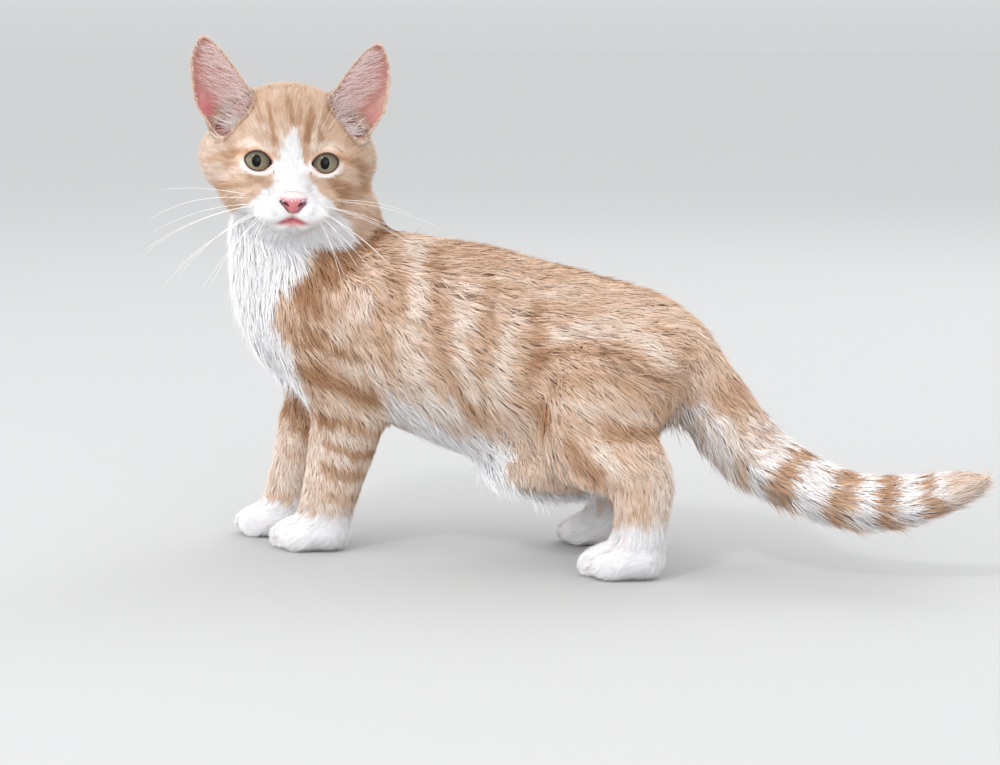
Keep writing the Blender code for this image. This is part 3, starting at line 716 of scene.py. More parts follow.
def flushed_and_shaded(points, normals):
    """How much deeper the pink of bare skin is: on the lips, and low in the ears, where it is partly the
    skin's own colour and partly painted shade; along the mouth's crease it goes above 1, as painted shade.
    """
    local = to_head(points)
    u, v = local[:, 0], local[:, 1]
    lips = lip_share(local) * (0.45 + 0.45 * ramp(-np.hypot(u / 2.4, v + 23.4), -2.2, -0.4))
    # painted shade along the crease of the mouth, which takes the deeper pink above 1
    line = 0.45 * ramp(-mouth_gap(local), -0.7, -0.2) * ramp(-np.abs(u), -9, -4)
    # deeper pink low in the ears: partly the skin's own colour, partly painted shade deep in the cup
    ears = ear_cup(local, normals) * (0.22 + 0.7 * ramp(-v, -29, -14) + 0.12 * ripple(points, 5, 17))
    return np.clip(np.maximum(lips, ears), 0, 1) + line


def lip_share(local):
    """How much a point of the head is lip: a crescent under the cleft, its corners low."""
    u, v, w = local.T
    top = -21.1 - 0.52 * np.abs(u)
    low = -26.5 + 0.012 * u**2
    inside = np.minimum(top - v, (v - low) * 0.7)
    return ramp(inside, -0.5, 1.2) * ramp(-np.abs(u), -9.2, -4) * (w > 0)


def ear_cup(local, normals):
    """How much a point is in the hollow of an ear: between its rims, behind them and facing its middle."""
    side = np.sign(local[:, :1])
    u, v, w = np.abs(local[:, 0]), local[:, 1], local[:, 2]
    near, far = (np.array(rim, float) for rim in (EAR_NEAR, EAR_FAR))
    low = np.interp(v, near[:, 1], near[:, 0])
    high = np.interp(v, far[:, 1], far[:, 0])
    inside = np.minimum(u - low, high - u)
    rim = np.interp(v, far[:, 1], far[:, 2])
    to_middle = unit(np.stack(((low + high) / 2 - u, np.zeros(len(u)), rim + 1 - w), axis=1))
    turned = normals @ HEAD_TURNED
    facing = to_middle[:, 0] * turned[:, 0] * side[:, 0] + to_middle[:, 2] * turned[:, 2]
    behind = ramp(rim - w, -1.5, 0.0) * ramp(w - rim, -12, -10.5)
    return ramp(inside, -0.6, 0.8) * behind * ramp(facing, 0.1, 0.4) * (v > 4)


def sink(points, normals, owners):
    """The skin's points: the solids' surface less the coat's depth, with the lids drawn in over the eyes."""
    _, _, depth, _ = coat_rows(points, owners)
    local = to_head(points - normals * (depth + BRIDGE + CLEFT * toe_clefts(points))[:, None])
    eye = nearer_eye(local)
    away = local - eye
    opened = (eye_gap(local) + 1) * np.mean(LID_DRAWN[:2]) - 1
    share = regions(owners, "head") * ramp(-np.abs(opened), -0.5, -0.1) * (away[:, 2] > 2)
    drawn = away * (1 - share[:, None] * (1 - np.array(LID_DRAWN)))
    over = (EYEBALL + 0.2) / np.linalg.norm(drawn, axis=1)
    drawn *= np.where(share > 0, np.maximum(over, 1), 1)[:, None]
    return from_head(eye + drawn)


def set_attribute(made, name, kind, values):
    """A named value for each point of a piece."""
    field = "vector" if kind == "FLOAT_VECTOR" else "value"
    attribute = made.data.attributes.new(name, kind, "POINT")
    attribute.data.foreach_set(field, np.asarray(values).ravel())


class KITTEN_PG_colours(bpy.types.PropertyGroup):
    """The colours of the coat and the face."""

    white: bpy.props.FloatVectorProperty(
        name="White", description="Fur of the bib, belly, muzzle and paws",
        subtype="COLOR", default=(0.90, 0.89, 0.90),
    )
    cream: bpy.props.FloatVectorProperty(
        name="Cream", description="Palest fur between the stripes",
        subtype="COLOR", default=(0.83, 0.71, 0.62),
    )
    ginger: bpy.props.FloatVectorProperty(
        name="Ginger", description="Fur of the back and sides",
        subtype="COLOR", default=(0.66, 0.46, 0.33),
    )
    rust: bpy.props.FloatVectorProperty(
        name="Rust", description="Darkest stripes",
        subtype="COLOR", default=(0.40, 0.215, 0.115),
    )
    pink: bpy.props.FloatVectorProperty(
        name="Pink", description="Bare skin of the lids and ears",
        subtype="COLOR", default=(0.54, 0.285, 0.25),
    )
    # the deeper pink of the lips, and low in the ears partly painted shade deep in the cup
    flush: bpy.props.FloatVectorProperty(
        name="Flush", description="Deeper pink of the lips and low in the ears",
        subtype="COLOR", default=(0.46, 0.135, 0.155),
    )
    dull: bpy.props.FloatProperty(
        name="Dull", description="Brightness of the dullest tufts", default=0.76,
    )
    bright: bpy.props.FloatProperty(
        name="Bright", description="Brightness of the brightest tufts", default=1.0,
    )
    # the roots are paler: partly the fur's own pale roots, partly painted light in the shaded gaps between
    # tufts
    root: bpy.props.FloatProperty(
        name="Root", description="Brightness at the roots of the tufts", default=1.06,
    )
    tip: bpy.props.FloatProperty(
        name="Tip", description="Brightness at the tips of the tufts", default=1.04,
    )


class KITTEN_PG_face(bpy.types.PropertyGroup):
    """The eyes, the nose and the hairs of the face."""

    iris: bpy.props.FloatVectorProperty(
        name="Iris", description="Colour of the iris",
        subtype="COLOR", default=(0.17, 0.15, 0.105),
    )
    leather: bpy.props.FloatVectorProperty(
        name="Leather", description="Colour of the nose leather",
        subtype="COLOR", default=(0.54, 0.165, 0.185),
    )
    pupil_wide: bpy.props.FloatProperty(
        name="Pupil width", description="In millimetres", default=3.9, min=0.5, max=8,
    )
    pupil_high: bpy.props.FloatProperty(
        name="Pupil height", description="In millimetres", default=5.3, min=2, max=9,
    )
    whisker: bpy.props.FloatProperty(
        name="Whisker", description="Thickness at the root, in millimetres", default=0.22,
    )
    ear_hairs: bpy.props.IntProperty(
        name="Ear hairs", description="Long hairs in each ear", default=760, min=0,
    )


class KITTEN_PG_stage(bpy.types.PropertyGroup):
    """The light and the floor."""

    sky: bpy.props.FloatProperty(
        name="Sky", description="Strength of the room's light", default=1.6, min=0,
    )
    key: bpy.props.FloatProperty(
        name="Key", description="Power of the main lamp", default=10, min=0, unit="POWER",
    )
    floor: bpy.props.FloatProperty(
        name="Floor", description="Brightness of the floor", default=0.44, min=0, max=1,
    )


class KITTEN_OT_skin(bpy.types.Operator):
    """One skin over all the flesh, a coat's depth inside the solids"""

    bl_idname = "kitten.skin"
    bl_label = "Skin"

    def execute(self, context):
        shells = flesh_shells()
        points, normals, triangles = bridged(shells, FINE_VOXEL, 5)
        owners = nodes_of(points)
        points = sink(points, normals, owners)
        skin = mesh_object("skin", points, triangles)
        thin_body(skin, owners)
        points, normals, _ = read_mesh(skin.data)
        owners = nodes_of(points)
        marks = markings(points, owners, normals)
        set_attribute(skin, "owner", "INT", owners.astype(np.int32))
        set_attribute(skin, "marks", "FLOAT_VECTOR", marks.astype(np.float32))
        set_attribute(skin, "flush", "FLOAT", flushed_and_shaded(points, normals).astype(np.float32))
        settle(skin, "coat_ginger", fur_paint("skin"), *FLESH)
        shells.free()
        return {"FINISHED"}


def thin_body(skin, owners):
    """Fewer faces on the skin where the coat hides it, as many as before on the head."""
    group = skin.vertex_groups.new(name="thin")
    hidden = np.flatnonzero(~regions(owners, "head", "ear"))
    group.add(hidden.tolist(), 1.0, "REPLACE")
    decimate = skin.modifiers.new("Decimate", "DECIMATE")
    decimate.vertex_group = "thin"
    decimate.ratio = KEPT_FACES
    bpy.context.view_layer.update()
    mesh = bpy.data.meshes.new_from_object(skin.evaluated_get(bpy.context.evaluated_depsgraph_get()))
    skin.modifiers.remove(decimate)
    skin.vertex_groups.clear()
    old = skin.data
    skin.data = mesh
    bpy.data.meshes.remove(old)
    mesh.name = "skin"


class Paint:
    """A new material and short ways to add nodes to it."""

    def __init__(self, name, roughness, specular=0.5, coat=0.0):
        self.material = bpy.data.materials.new(name)
        self.material.use_nodes = True
        self.tree = self.material.node_tree
        self.shader = self.tree.nodes["Principled BSDF"]
        self.feed(self.shader.inputs["Roughness"], roughness)
        self.feed(self.shader.inputs["Specular IOR Level"], specular)
        self.feed(self.shader.inputs["Coat Weight"], coat)
        self.feed(self.shader.inputs["Coat Roughness"], 0.04)

    def feed(self, socket, value):
        """Sets a socket to a number or colour, or links an output to it."""
        if isinstance(value, bpy.types.NodeSocket):
            self.tree.links.new(value, socket)
        elif socket.type == "RGBA":
            socket.default_value = (*value, 1)
        else:
            socket.default_value = value

    def add(self, kind, *values, output=0, **settings):
        """The output of a new node, its inputs fed in turn."""
        node = self.tree.nodes.new("ShaderNode" + kind)
        for setting, value in settings.items():
            setattr(node, setting, value)
        for socket, value in zip(node.inputs, values):
            self.feed(socket, value)
        return node.outputs[output]

    def mix(self, share, first, second, blend="MIX"):
        """Two colours mixed by a share."""
        node = self.tree.nodes.new("ShaderNodeMix")
        node.data_type = "RGBA"
        node.blend_type = blend
        for socket, value in ((0, share), (6, first), (7, second)):
            self.feed(node.inputs[socket], value)
        return node.outputs[2]

    def colour(self, value):
        """Sets the base colour."""
        self.feed(self.shader.inputs["Base Color"], value)

    def mottled(self, value, scale, spread):
        """A colour that is up to so much darker or lighter in blotches, so many to a metre."""
        place = self.add("TexCoord", output=3)
        blotch = self.add("TexNoise", place, 0.0, scale, 3.0)
        light = self.add("MapRange", blotch, 0.3, 0.7, 1 - spread, 1 + spread)
        return self.mix(1.0, value, light, "MULTIPLY")

    def bump(self, scale, height):
        """Fine noise for the surface, so many grains to a metre and so high in millimetres."""
        place = self.add("TexCoord", output=3)
        grain = self.add("TexNoise", place, 0.0, scale, 3.0)
        node = self.tree.nodes.new("ShaderNodeBump")
        self.feed(node.inputs["Distance"], height * MM)
        self.feed(node.inputs["Height"], grain)
        self.feed(self.shader.inputs["Normal"], node.outputs[0])


def fur_paint(name):
    """The material of the skin or of a coat: its colour comes from the markings, on skin and tufts alike."""
    if name in bpy.data.materials:
        return bpy.data.materials[name]
    colours = bpy.context.scene.kitten_colours
    paint = Paint(name, 0.8, 0.1)
    marks = paint.add("Attribute", attribute_name="marks", output=1)
    parts = paint.tree.nodes.new("ShaderNodeSeparateXYZ")
    paint.feed(parts.inputs[0], marks)
    ginger_share, stripe_share, bare_share = parts.outputs
    strand = paint.add("Attribute", attribute_name="strand", output=2)
    tone = paint.add("Attribute", attribute_name="tone", output=2)
    light = paint.add("MapRange", stripe_share, 0.0, 0.5, 0.0, 1.0)
    dark = paint.add("MapRange", stripe_share, 0.5, 1.0, 0.0, 1.0)
    coat = paint.mix(light, colours.cream, colours.ginger)
    coat = paint.mix(dark, coat, colours.rust)
    coat = paint.mix(ginger_share, colours.white, coat)
    toned = paint.add("MapRange", tone, 0.0, 1.0, colours.dull, colours.bright, clamp=False)
    coat = paint.mix(1.0, coat, toned, "MULTIPLY")
    # paler roots, partly the fur's own colour and partly painted light in the shaded gaps between tufts
    root_and_gap_light = paint.add("MapRange", strand, 0.0, 1.0, colours.root, colours.tip)
    coat = paint.mix(1.0, coat, root_and_gap_light, "MULTIPLY")
    bare = tuple(colours.pink)
    if name == "skin":
        flush = paint.add("Attribute", attribute_name="flush", output=2)
        bare = paint.mottled(paint.mix(flush, bare, colours.flush), 420.0, 0.12)
        # above 1, along the mouth's crease, the skin is darkened as painted shade
        bare = paint.mix(1.0, bare, paint.add("MapRange", flush, 1.0, 2.0, 1.0, 0.4), "MULTIPLY")
        paint.bump(1400.0, 0.25)
    paint.colour(paint.mix(bare_share, coat, bare))
    return paint.material


def scattered(rng, triangles, areas, density):
    """Random places, so many to a square millimetre: the triangle of each and the shares of its corners."""
    expected = areas * density
    counts = np.floor(expected + rng.random(len(expected))).astype(int)
    chosen = np.repeat(np.arange(len(triangles)), counts)
    first, second = rng.random((2, len(chosen)))
    over = first + second > 1
    first, second = np.where(over, 1 - first, first), np.where(over, 1 - second, second)
    return chosen, np.stack((1 - first - second, first, second), axis=1)


def box_unwrap(points, normals):
    """Places on an unwrap of the surface itself: its six sides, laid side by side in the unit square."""
    axis = np.argmax(np.abs(normals), axis=1)
    facing = (np.take_along_axis(normals, axis[:, None], axis=1)[:, 0] > 0).astype(int)
    low, size = points.min(0), np.ptp(points, axis=0).max() + 1e-6
    spread = (points - low) / size
    uv = np.empty((len(points), 2))
    for number, (across, up) in enumerate(((1, 2), (0, 2), (0, 1))):
        here = axis == number
        uv[here] = spread[here][:, (across, up)]
    uv = uv * (0.32, 0.49) + 0.004
    return uv + np.stack((axis / 3, facing / 2), axis=1)


def tuft_mesh(name, spines, widths, across, above, facing, uv, marks, tones):
    """One mesh of closed tapering tufts along spines of so many rings and a tip.

    A tuft that lies flat is shaded like the surface of the coat there, a tuft that stands by its own form,
    and the underside of every tuft by its own form.
    """
    count, stops, _ = spines.shape
    rings = stops - 1
    way = unit(spines[:, -1] - spines[:, 0])
    outward = np.cross(way, across)
    flat = 1 - ramp(np.abs(np.sum(way * facing, axis=1)), 0.35, 0.8)[:, None]
    flat *= ramp(np.sum(above * facing, axis=1), 0.5, 0.9)[:, None]
    ridge = facing * flat + outward * (1 - flat)
    under = facing * flat - outward * (1 - flat) * 0.2
    points = np.empty((count, rings * 3 + 1, 3))
    shading = np.empty_like(points)
    for ring in range(rings):
        for corner, (side, rise) in enumerate(TUFT_CORNERS):
            reach = (across * side + above * rise) * (widths * TUFT_TAPER[ring])[:, None]
            points[:, ring * 3 + corner] = spines[:, ring] + reach
            sideways = across * side * (2 - (2 - SHEEN) * flat)
            shading[:, ring * 3 + corner] = ridge if rise else under + sideways
    points[:, -1] = spines[:, -1]
    shading[:, -1] = ridge
    faces = [(0, 2, 1)]
    for ring in range(rings - 1):
        low, high = ring * 3, ring * 3 + 3
        for a, b in ((0, 1), (1, 2), (2, 0)):
            faces += [(low + a, low + b, high + b), (low + a, high + b, high + a)]
    top, tip = rings * 3 - 3, rings * 3
    faces += [(top + a, top + b, tip) for a, b in ((0, 1), (1, 2), (2, 0))]
    faces = np.array(faces)
    step = points.shape[1]
    all_faces = (faces[None] + (np.arange(count) * step)[:, None, None]).reshape(-1, 3)
    made = mesh_object(name, points.reshape(-1, 3), all_faces)
    corner_shading = unit(shading)[:, faces]
    below = np.flatnonzero((faces % 3 != 2).all(axis=1))
    corner_shading[:, below] = -outward[:, None, None]
    made.data.normals_split_custom_set(corner_shading.reshape(-1, 3).astype(np.float32))
    strand = np.append(np.repeat(np.arange(rings) / rings, 3), 1.0)
    set_attribute(made, "strand", "FLOAT", np.tile(strand, count).astype(np.float32))
    set_attribute(made, "tone", "FLOAT", np.repeat(tones, step).astype(np.float32))
    set_attribute(made, "marks", "FLOAT_VECTOR", np.repeat(marks, step, axis=0).astype(np.float32))
    lean = np.append(np.tile((-0.5, 0.5, 0.0), rings), 0.0)
    patch = np.stack((lean, strand - 0.5), axis=1) * PATCH
    corners = (uv[:, None] + patch[None]).reshape(-1, 2)[all_faces.ravel()]
    layer = made.data.uv_layers.new(name="OFBake")
    layer.uv.foreach_set("vector", corners.astype(np.float32).ravel())
    return made


class KITTEN_OT_coat(bpy.types.Operator):
    """The coat, in overlapping tufts that follow its lie"""

    bl_idname = "kitten.coat"
    bl_label = "Coat"

    def execute(self, context):
        skin = bpy.data.objects["skin"]
        points, normals, triangles = read_mesh(skin.data)
        owners = np.empty(len(points), np.int32)
        skin.data.attributes["owner"].data.foreach_get("value", owners)
        shells = flesh_shells()
        outer_points, _, outer_triangles = bridged(shells, OUTER_VOXEL, 4)
        shells.free()
        outer = BVHTree.FromPolygons(outer_points.tolist(), outer_triangles.tolist())
        middles, facing, areas = face_sizes(points, triangles)
        whose = owners[triangles[:, 0]]
        _, lengths, _, _ = coat_rows(middles, whose)
        growing = grows(middles, facing, whose)
        for name, chosen in coat_pieces(middles, whose):
            width, rings, layers = FUR[name.split("_")[1]]
            density = layers * 2 / (lengths * width) * growing * chosen
            grow(name, points, normals, triangles, owners, areas, density, outer, width, rings)
        return {"FINISHED"}


def face_sizes(points, triangles):
    """The middle, the facing and the area of each triangle."""
    corners = points[triangles]
    crossed = np.cross(corners[:, 1] - corners[:, 0], corners[:, 2] - corners[:, 0])
    return corners.mean(axis=1), unit(crossed), np.linalg.norm(crossed, axis=1) / 2


def coat_pieces(middles, whose):
    """The name of each coat piece, and which of the skin's triangles it grows on."""
    left = middles[:, 1] < 0
    front = to_head(middles)[:, 2] > -13
    head = regions(whose, "head")
    yield "coat_head_face", head & front
    yield "coat_head_crown", head & ~front
    yield "coat_ear_pair", regions(whose, "ear")
    for kind in ("neck", "chest", "belly", "rump"):
        yield f"coat_{kind}_left", regions(whose, kind) & left
        yield f"coat_{kind}_right", regions(whose, kind) & ~left
    for kind in ("thigh", "foreleg", "forepaw", "hindfoot"):
        for side in SIDES:
            yield f"coat_{kind}_{side}", regions(whose, f"{kind}_{side}")
    yield "coat_tail_root", regions(whose, "tail_1", "tail_2")
    yield "coat_tail_end", regions(whose, "tail_3", "tail_4")


def grows(middles, facing, whose):
    """1 where fur grows, 0 where the skin is bare."""
    local = to_head(middles)
    head = regions(whose, "head", "ear")
    bare = head & ((eye_gap(local) < 0.12) | (lip_share(local) > 0.4) | (mouth_gap(local) < 0.6))
    mirrored = np.stack((np.abs(local[:, 0]), local[:, 1]), axis=1)
    rows = np.min([along_path(mirrored, row)[1] for row in PAD_ROWS], axis=0)
    bare = bare | (head & (rows < 0.28) & (local[:, 2] > 0))
    eye = nearer_eye(local)
    inward = np.sum(unit(eye - local) * (facing @ HEAD_TURNED) * (1, 1, 0), axis=1) > 0.3
    close = np.linalg.norm(local - eye, axis=1) < EYEBALL + 0.8
    in_socket = head & (close | ((eye_gap(local) < 0.6) & inward))
    nose = head & (np.abs(local[:, 0]) < 4.5) & (np.abs(local[:, 1] + 16.5) < 3.6) & (local[:, 2] > 8)
    cup = head & (ear_cup(local, facing) > 0.5)
    feet = regions(whose, "forepaw", "hindfoot")
    sole = feet & (facing[:, 2] < -0.75) & (middles[:, 2] < 4)
    cleft = feet & (toe_clefts(middles) > 0.8)
    return np.where(bare | in_socket | nose | cup | sole | cleft, 0.0, 1.0)


def grow(name, points, normals, triangles, owners, areas, density, outer, width, rings):
    """One piece of the coat, rooted at random places of so many to a square millimetre."""
    rng = np.random.default_rng(sum(map(ord, name)))
    used = np.flatnonzero(density > 0)
    chosen, shares = scattered(rng, triangles[used], areas[used], density[used])
    if not len(chosen):
        return
    corners = triangles[used][chosen]
    roots = np.einsum("ni,nij->nj", shares, points[corners])
    above = unit(np.einsum("ni,nij->nj", shares, normals[corners]))
    whose = owners[corners[:, 0]]
    lie, length, depth, cling = coat_rows(roots, whose)
    count = len(roots)
    leader = lock_leaders(rng, roots)
    sway = np.stack([ripple(roots, 14, seed) for seed in (11, 12, 13)], axis=1) * TUFT_SWAY
    white = ramp(-markings(roots, whose, above)[:, 0], -0.5, -0.1)
    ruffled = (1.0 if rings > 1 else 0.55) * (1 - 0.55 * white)
    ruffled *= 1 - 0.35 * regions(whose, "foreleg")
    swing = rng.normal(size=roots.shape) * TUFT_SWING
    swing += rng.normal(size=roots.shape)[leader] * LOCK_SWING
    lie = lie + sway + swing * ruffled[:, None]
    lie = unit(lie - above * np.sum(lie * above, axis=1, keepdims=True))
    length = length * rng.uniform(*TUFT_LENGTHS, count)
    reach = roots + lie * length[:, None]
    droop = depth * (rng.random(count) ** 2 * TUFT_DROOP - 0.1) + CLEFT * toe_clefts(roots)
    tips = np.empty_like(roots)
    facings = np.empty_like(roots)
    for index, place in enumerate(reach.tolist()):
        found, facing, _, _ = outer.find_nearest(place)
        tips[index] = found - facing * (droop[index] + BRIDGE)
        facings[index] = facing
    straight = reach + above * depth[:, None]
    tips = tips * cling[:, None] + straight * (1 - cling)[:, None]
    pull = (rng.uniform(*LOCK_PULL, count) * (0.3 + 0.7 * ruffled))[:, None]
    tips = tips * (1 - pull) + tips[leader] * pull
    rise = rng.random(count)[leader] ** 3 * LOCK_RISE * ruffled
    rise += (rng.random(count) < LOOSE) * rng.uniform(*LOOSE_RISE, count)
    tips += above * (rise * length)[:, None]
    bend = roots + above * (depth * BEND_HIGH)[:, None] + lie * (length * BEND_ALONG)[:, None]
    start = roots - above * ROOT_DEPTH
    stops = np.arange(rings + 1) / rings
    spines = np.stack([start * (1 - s) ** 2 + bend * 2 * s * (1 - s) + tips * s * s for s in stops], axis=1)
    across = unit(np.cross(above, unit(tips - roots)))
    widths = width * rng.uniform(*TUFT_WIDTHS, count)
    marks = tuft_marks(rng, markings(roots + (tips - roots) * 0.6, whose, above), leader)
    tones = rng.random(count) * 0.5 + rng.random(count)[leader] * 0.5
    # painted shade: the fur on the front of the head is painted darker, as the face takes more light than the
    # body
    tones = tones - regions(whose, "head", "ear") * FACE_SHADE * ramp(to_head(roots)[:, 2], -36, -16)
    fine = regions(whose, "head", "ear", "forepaw", "hindfoot")[:, None]
    facings = np.where(fine, unit(facings + above), facings)
    uv = box_unwrap(roots, above)
    made = tuft_mesh(name, spines, widths, across, above, facings, uv, marks, tones)
    slot = "coat_white" if name.split("_")[1] in ("belly", "forepaw", "hindfoot") else "coat_ginger"
    settle(made, slot, fur_paint("coat"))


def tuft_marks(rng, marks, leader):
    """The markings of the tufts, each a little off its neighbours', most where ginger meets white."""
    count = len(marks)
    edge = 4 * marks[:, 0] * (1 - marks[:, 0])
    marks[:, 0] += edge * (rng.normal(size=count) * 0.2 + rng.normal(size=count)[leader] * 0.25)
    marks[:, 1] += rng.normal(size=count) * 0.05 + rng.normal(size=count)[leader] * 0.08
    marks[:, 2] *= 0.15
    return np.clip(marks, 0, 1)


def lock_leaders(rng, roots):
    """For each tuft, the tuft that leads its lock."""
    count = max(1, len(roots) // LOCK)
    leaders = rng.choice(len(roots), count, replace=False)
    tree = KDTree(count)
    for index, leader in enumerate(leaders):
        tree.insert(roots[leader].tolist(), index)
    tree.balance()
    return leaders[[tree.find(root)[1] for root in roots.tolist()]]


def tubes(name, paths, radii, sides):
    """One mesh of closed round tubes along paths of as many points each."""
    count, stops, _ = paths.shape
    way = unit(np.gradient(paths, axis=1))
    first = unit(np.cross(way, (0.03, 0.02, 1.0)))
    second = np.cross(way, first)
    turns = np.arange(sides) * 2 * math.pi / sides
    rounds = first[:, :, None] * np.cos(turns)[:, None] + second[:, :, None] * np.sin(turns)[:, None]
    points = (paths[:, :, None] + rounds * radii[:, :, None, None]).reshape(count, -1, 3)
    points = np.concatenate((points, paths[:, :1], paths[:, -1:]), axis=1)
    faces = []
    for stop in range(stops - 1):
        for side in range(sides):
            a, b = stop * sides + side, stop * sides + (side + 1) % sides
            faces += [(a, b, b + sides), (a, b + sides, a + sides)]
    last = (stops - 1) * sides
    for side in range(sides):
        following = (side + 1) % sides
        faces += [(stops * sides, following, side), (stops * sides + 1, last + side, last + following)]
    step = points.shape[1]
    all_faces = np.array(faces)[None] + (np.arange(count) * step)[:, None, None]
    return mesh_object(name, points.reshape(-1, 3), all_faces.reshape(-1, 3))


def curved(starts, middles, ends, stops):
    """Points along curves that leave each start, bend towards each middle and reach each end."""
    shares = np.linspace(0, 1, stops)[None, :, None]
    starts, middles, ends = starts[:, None], middles[:, None], ends[:, None]
    return starts * (1 - shares) ** 2 + middles * 2 * shares * (1 - shares) + ends * shares**2


def skin_tree():
    """A tree over the finished skin, in millimetres."""
    points, _, triangles = read_mesh(bpy.data.objects["skin"].data)
    return BVHTree.FromPolygons(points.tolist(), triangles.tolist())


def on_face(tree, u, v, sink=0.0):
    """The place on the front of the head at u and v, sunk by a depth, in the kitten's axes."""
    way = Vector(HEAD_TURNED[:, 2])
    start = Vector(from_head((u, v, 60)))
    found = tree.ray_cast(start, -way)[0]
    if found is None:
        raise RuntimeError(f"no face at {u}, {v}")
    return np.array(found - way * sink)


class KITTEN_OT_eyes(bpy.types.Operator):
    """The two eyes, glossy, with grey-green irises and upright pupils"""

    bl_idname = "kitten.eyes"
    bl_label = "Eyes"

    def execute(self, context):
        turned = Matrix.Rotation(math.radians(GAZE), 4, "Y")
        material = eye_paint()
        for side, sign in SIDES.items():
            made = mesh_object(f"eyeball_{side}", *eyeball(EYEBALL - 0.15, 0.75, 0.45))
            place = Matrix.Translation(Vector(from_head((sign * EYE_SPACING / 2, 0, EYE_BACK))) * MM)
            made.matrix_world = place @ HEAD.to_3x3().to_4x4() @ turned
            settle(made, "eye", material, f"eye_{side}")
        return {"FINISHED"}


def eyeball(radius, bulge, spread):
    """A ball whose cornea bulges by so much within so many radians of its front: points and triangles."""
    around, rows = 64, 56
    slants = math.pi * (np.arange(1, rows) / rows) ** 1.5
    turns = np.arange(around) * 2 * math.pi / around
    reach = radius + bulge * np.exp(-((slants / spread) ** 2))
    rings = [
        reach[:, None] * np.sin(slants)[:, None] * np.cos(turns),
        reach[:, None] * np.sin(slants)[:, None] * np.sin(turns),
        (reach * np.cos(slants))[:, None] * np.ones(around),
    ]
    points = np.stack(rings, axis=2).reshape(-1, 3)
    points = np.vstack((points, (0, 0, radius + bulge), (0, 0, -radius)))
    front, behind = len(points) - 2, len(points) - 1
    last = (rows - 2) * around
    faces = []
    for k in range(around):
        following = (k + 1) % around
        faces += [(front, k, following), (behind, last + following, last + k)]
        for row in range(rows - 2):
            a, b = row * around + k, row * around + following
            faces += [(a, a + around, b + around), (a, b + around, b)]
    return points, faces


def eye_paint():
    """The eye's colours by place on its own front: pupil, iris with fine rays, and its dark rim; the iris is
    lighter below as painted light and darker above as painted shade from the upper lid.
    """
    face = bpy.context.scene.kitten_face
    paint = Paint("eye", 0.3, 0.03, 0.3)
    parts = paint.tree.nodes.new("ShaderNodeSeparateXYZ")
    paint.feed(parts.inputs[0], paint.add("TexCoord", output=3))
    across, up = (paint.add("Math", part, 1 / MM, operation="MULTIPLY") for part in parts.outputs[:2])

    def far(wide, high):
        """How far out a place is, where 1 is the edge of an oval."""
        p = paint.add("Math", across, 2 / wide, operation="MULTIPLY")
        q = paint.add("Math", up, 2 / high, operation="MULTIPLY")
        squares = [paint.add("Math", part, part, operation="MULTIPLY") for part in (p, q)]
        return paint.add("Math", paint.add("Math", *squares, operation="ADD"), operation="SQRT")

    radius = far(2.0, 2.0)
    turn = paint.add("Math", across, up, operation="ARCTAN2")
    ray_place = paint.add("CombineXYZ", paint.add("Math", turn, 9.0, operation="MULTIPLY"), radius, 0.0)
    rays = paint.add("MapRange", paint.add("TexNoise", ray_place, 0.0, 1.6, 3.0), 0.3, 0.7, 0.75, 1.25)
    dark_green = tuple(part * 0.45 for part in face.iris)
    pale_green = tuple(part * 1.35 for part in face.iris)
    iris = paint.mix(paint.add("MapRange", radius, 2.2, 5.4, 0.0, 1.0), pale_green, face.iris)
    iris = paint.mix(1.0, iris, rays, "MULTIPLY")
    # painted light low on the iris, and painted shade of the upper lid high on it
    iris = paint.mix(1.0, iris, paint.add("MapRange", up, -3.5, 3.4, 1.3, 0.42), "MULTIPLY")
    iris = paint.mix(paint.add("MapRange", radius, 4.6, 5.4, 0.0, 1.0), iris, dark_green)
    iris = paint.mix(paint.add("MapRange", radius, 5.3, 5.9, 0.0, 1.0), iris, (0.012, 0.008, 0.006))
    pupil = paint.add("MapRange", far(face.pupil_wide, face.pupil_high), 0.92, 1.08, 0.0, 1.0)
    paint.colour(paint.mix(pupil, (0.003, 0.003, 0.003), iris))
    return paint.material


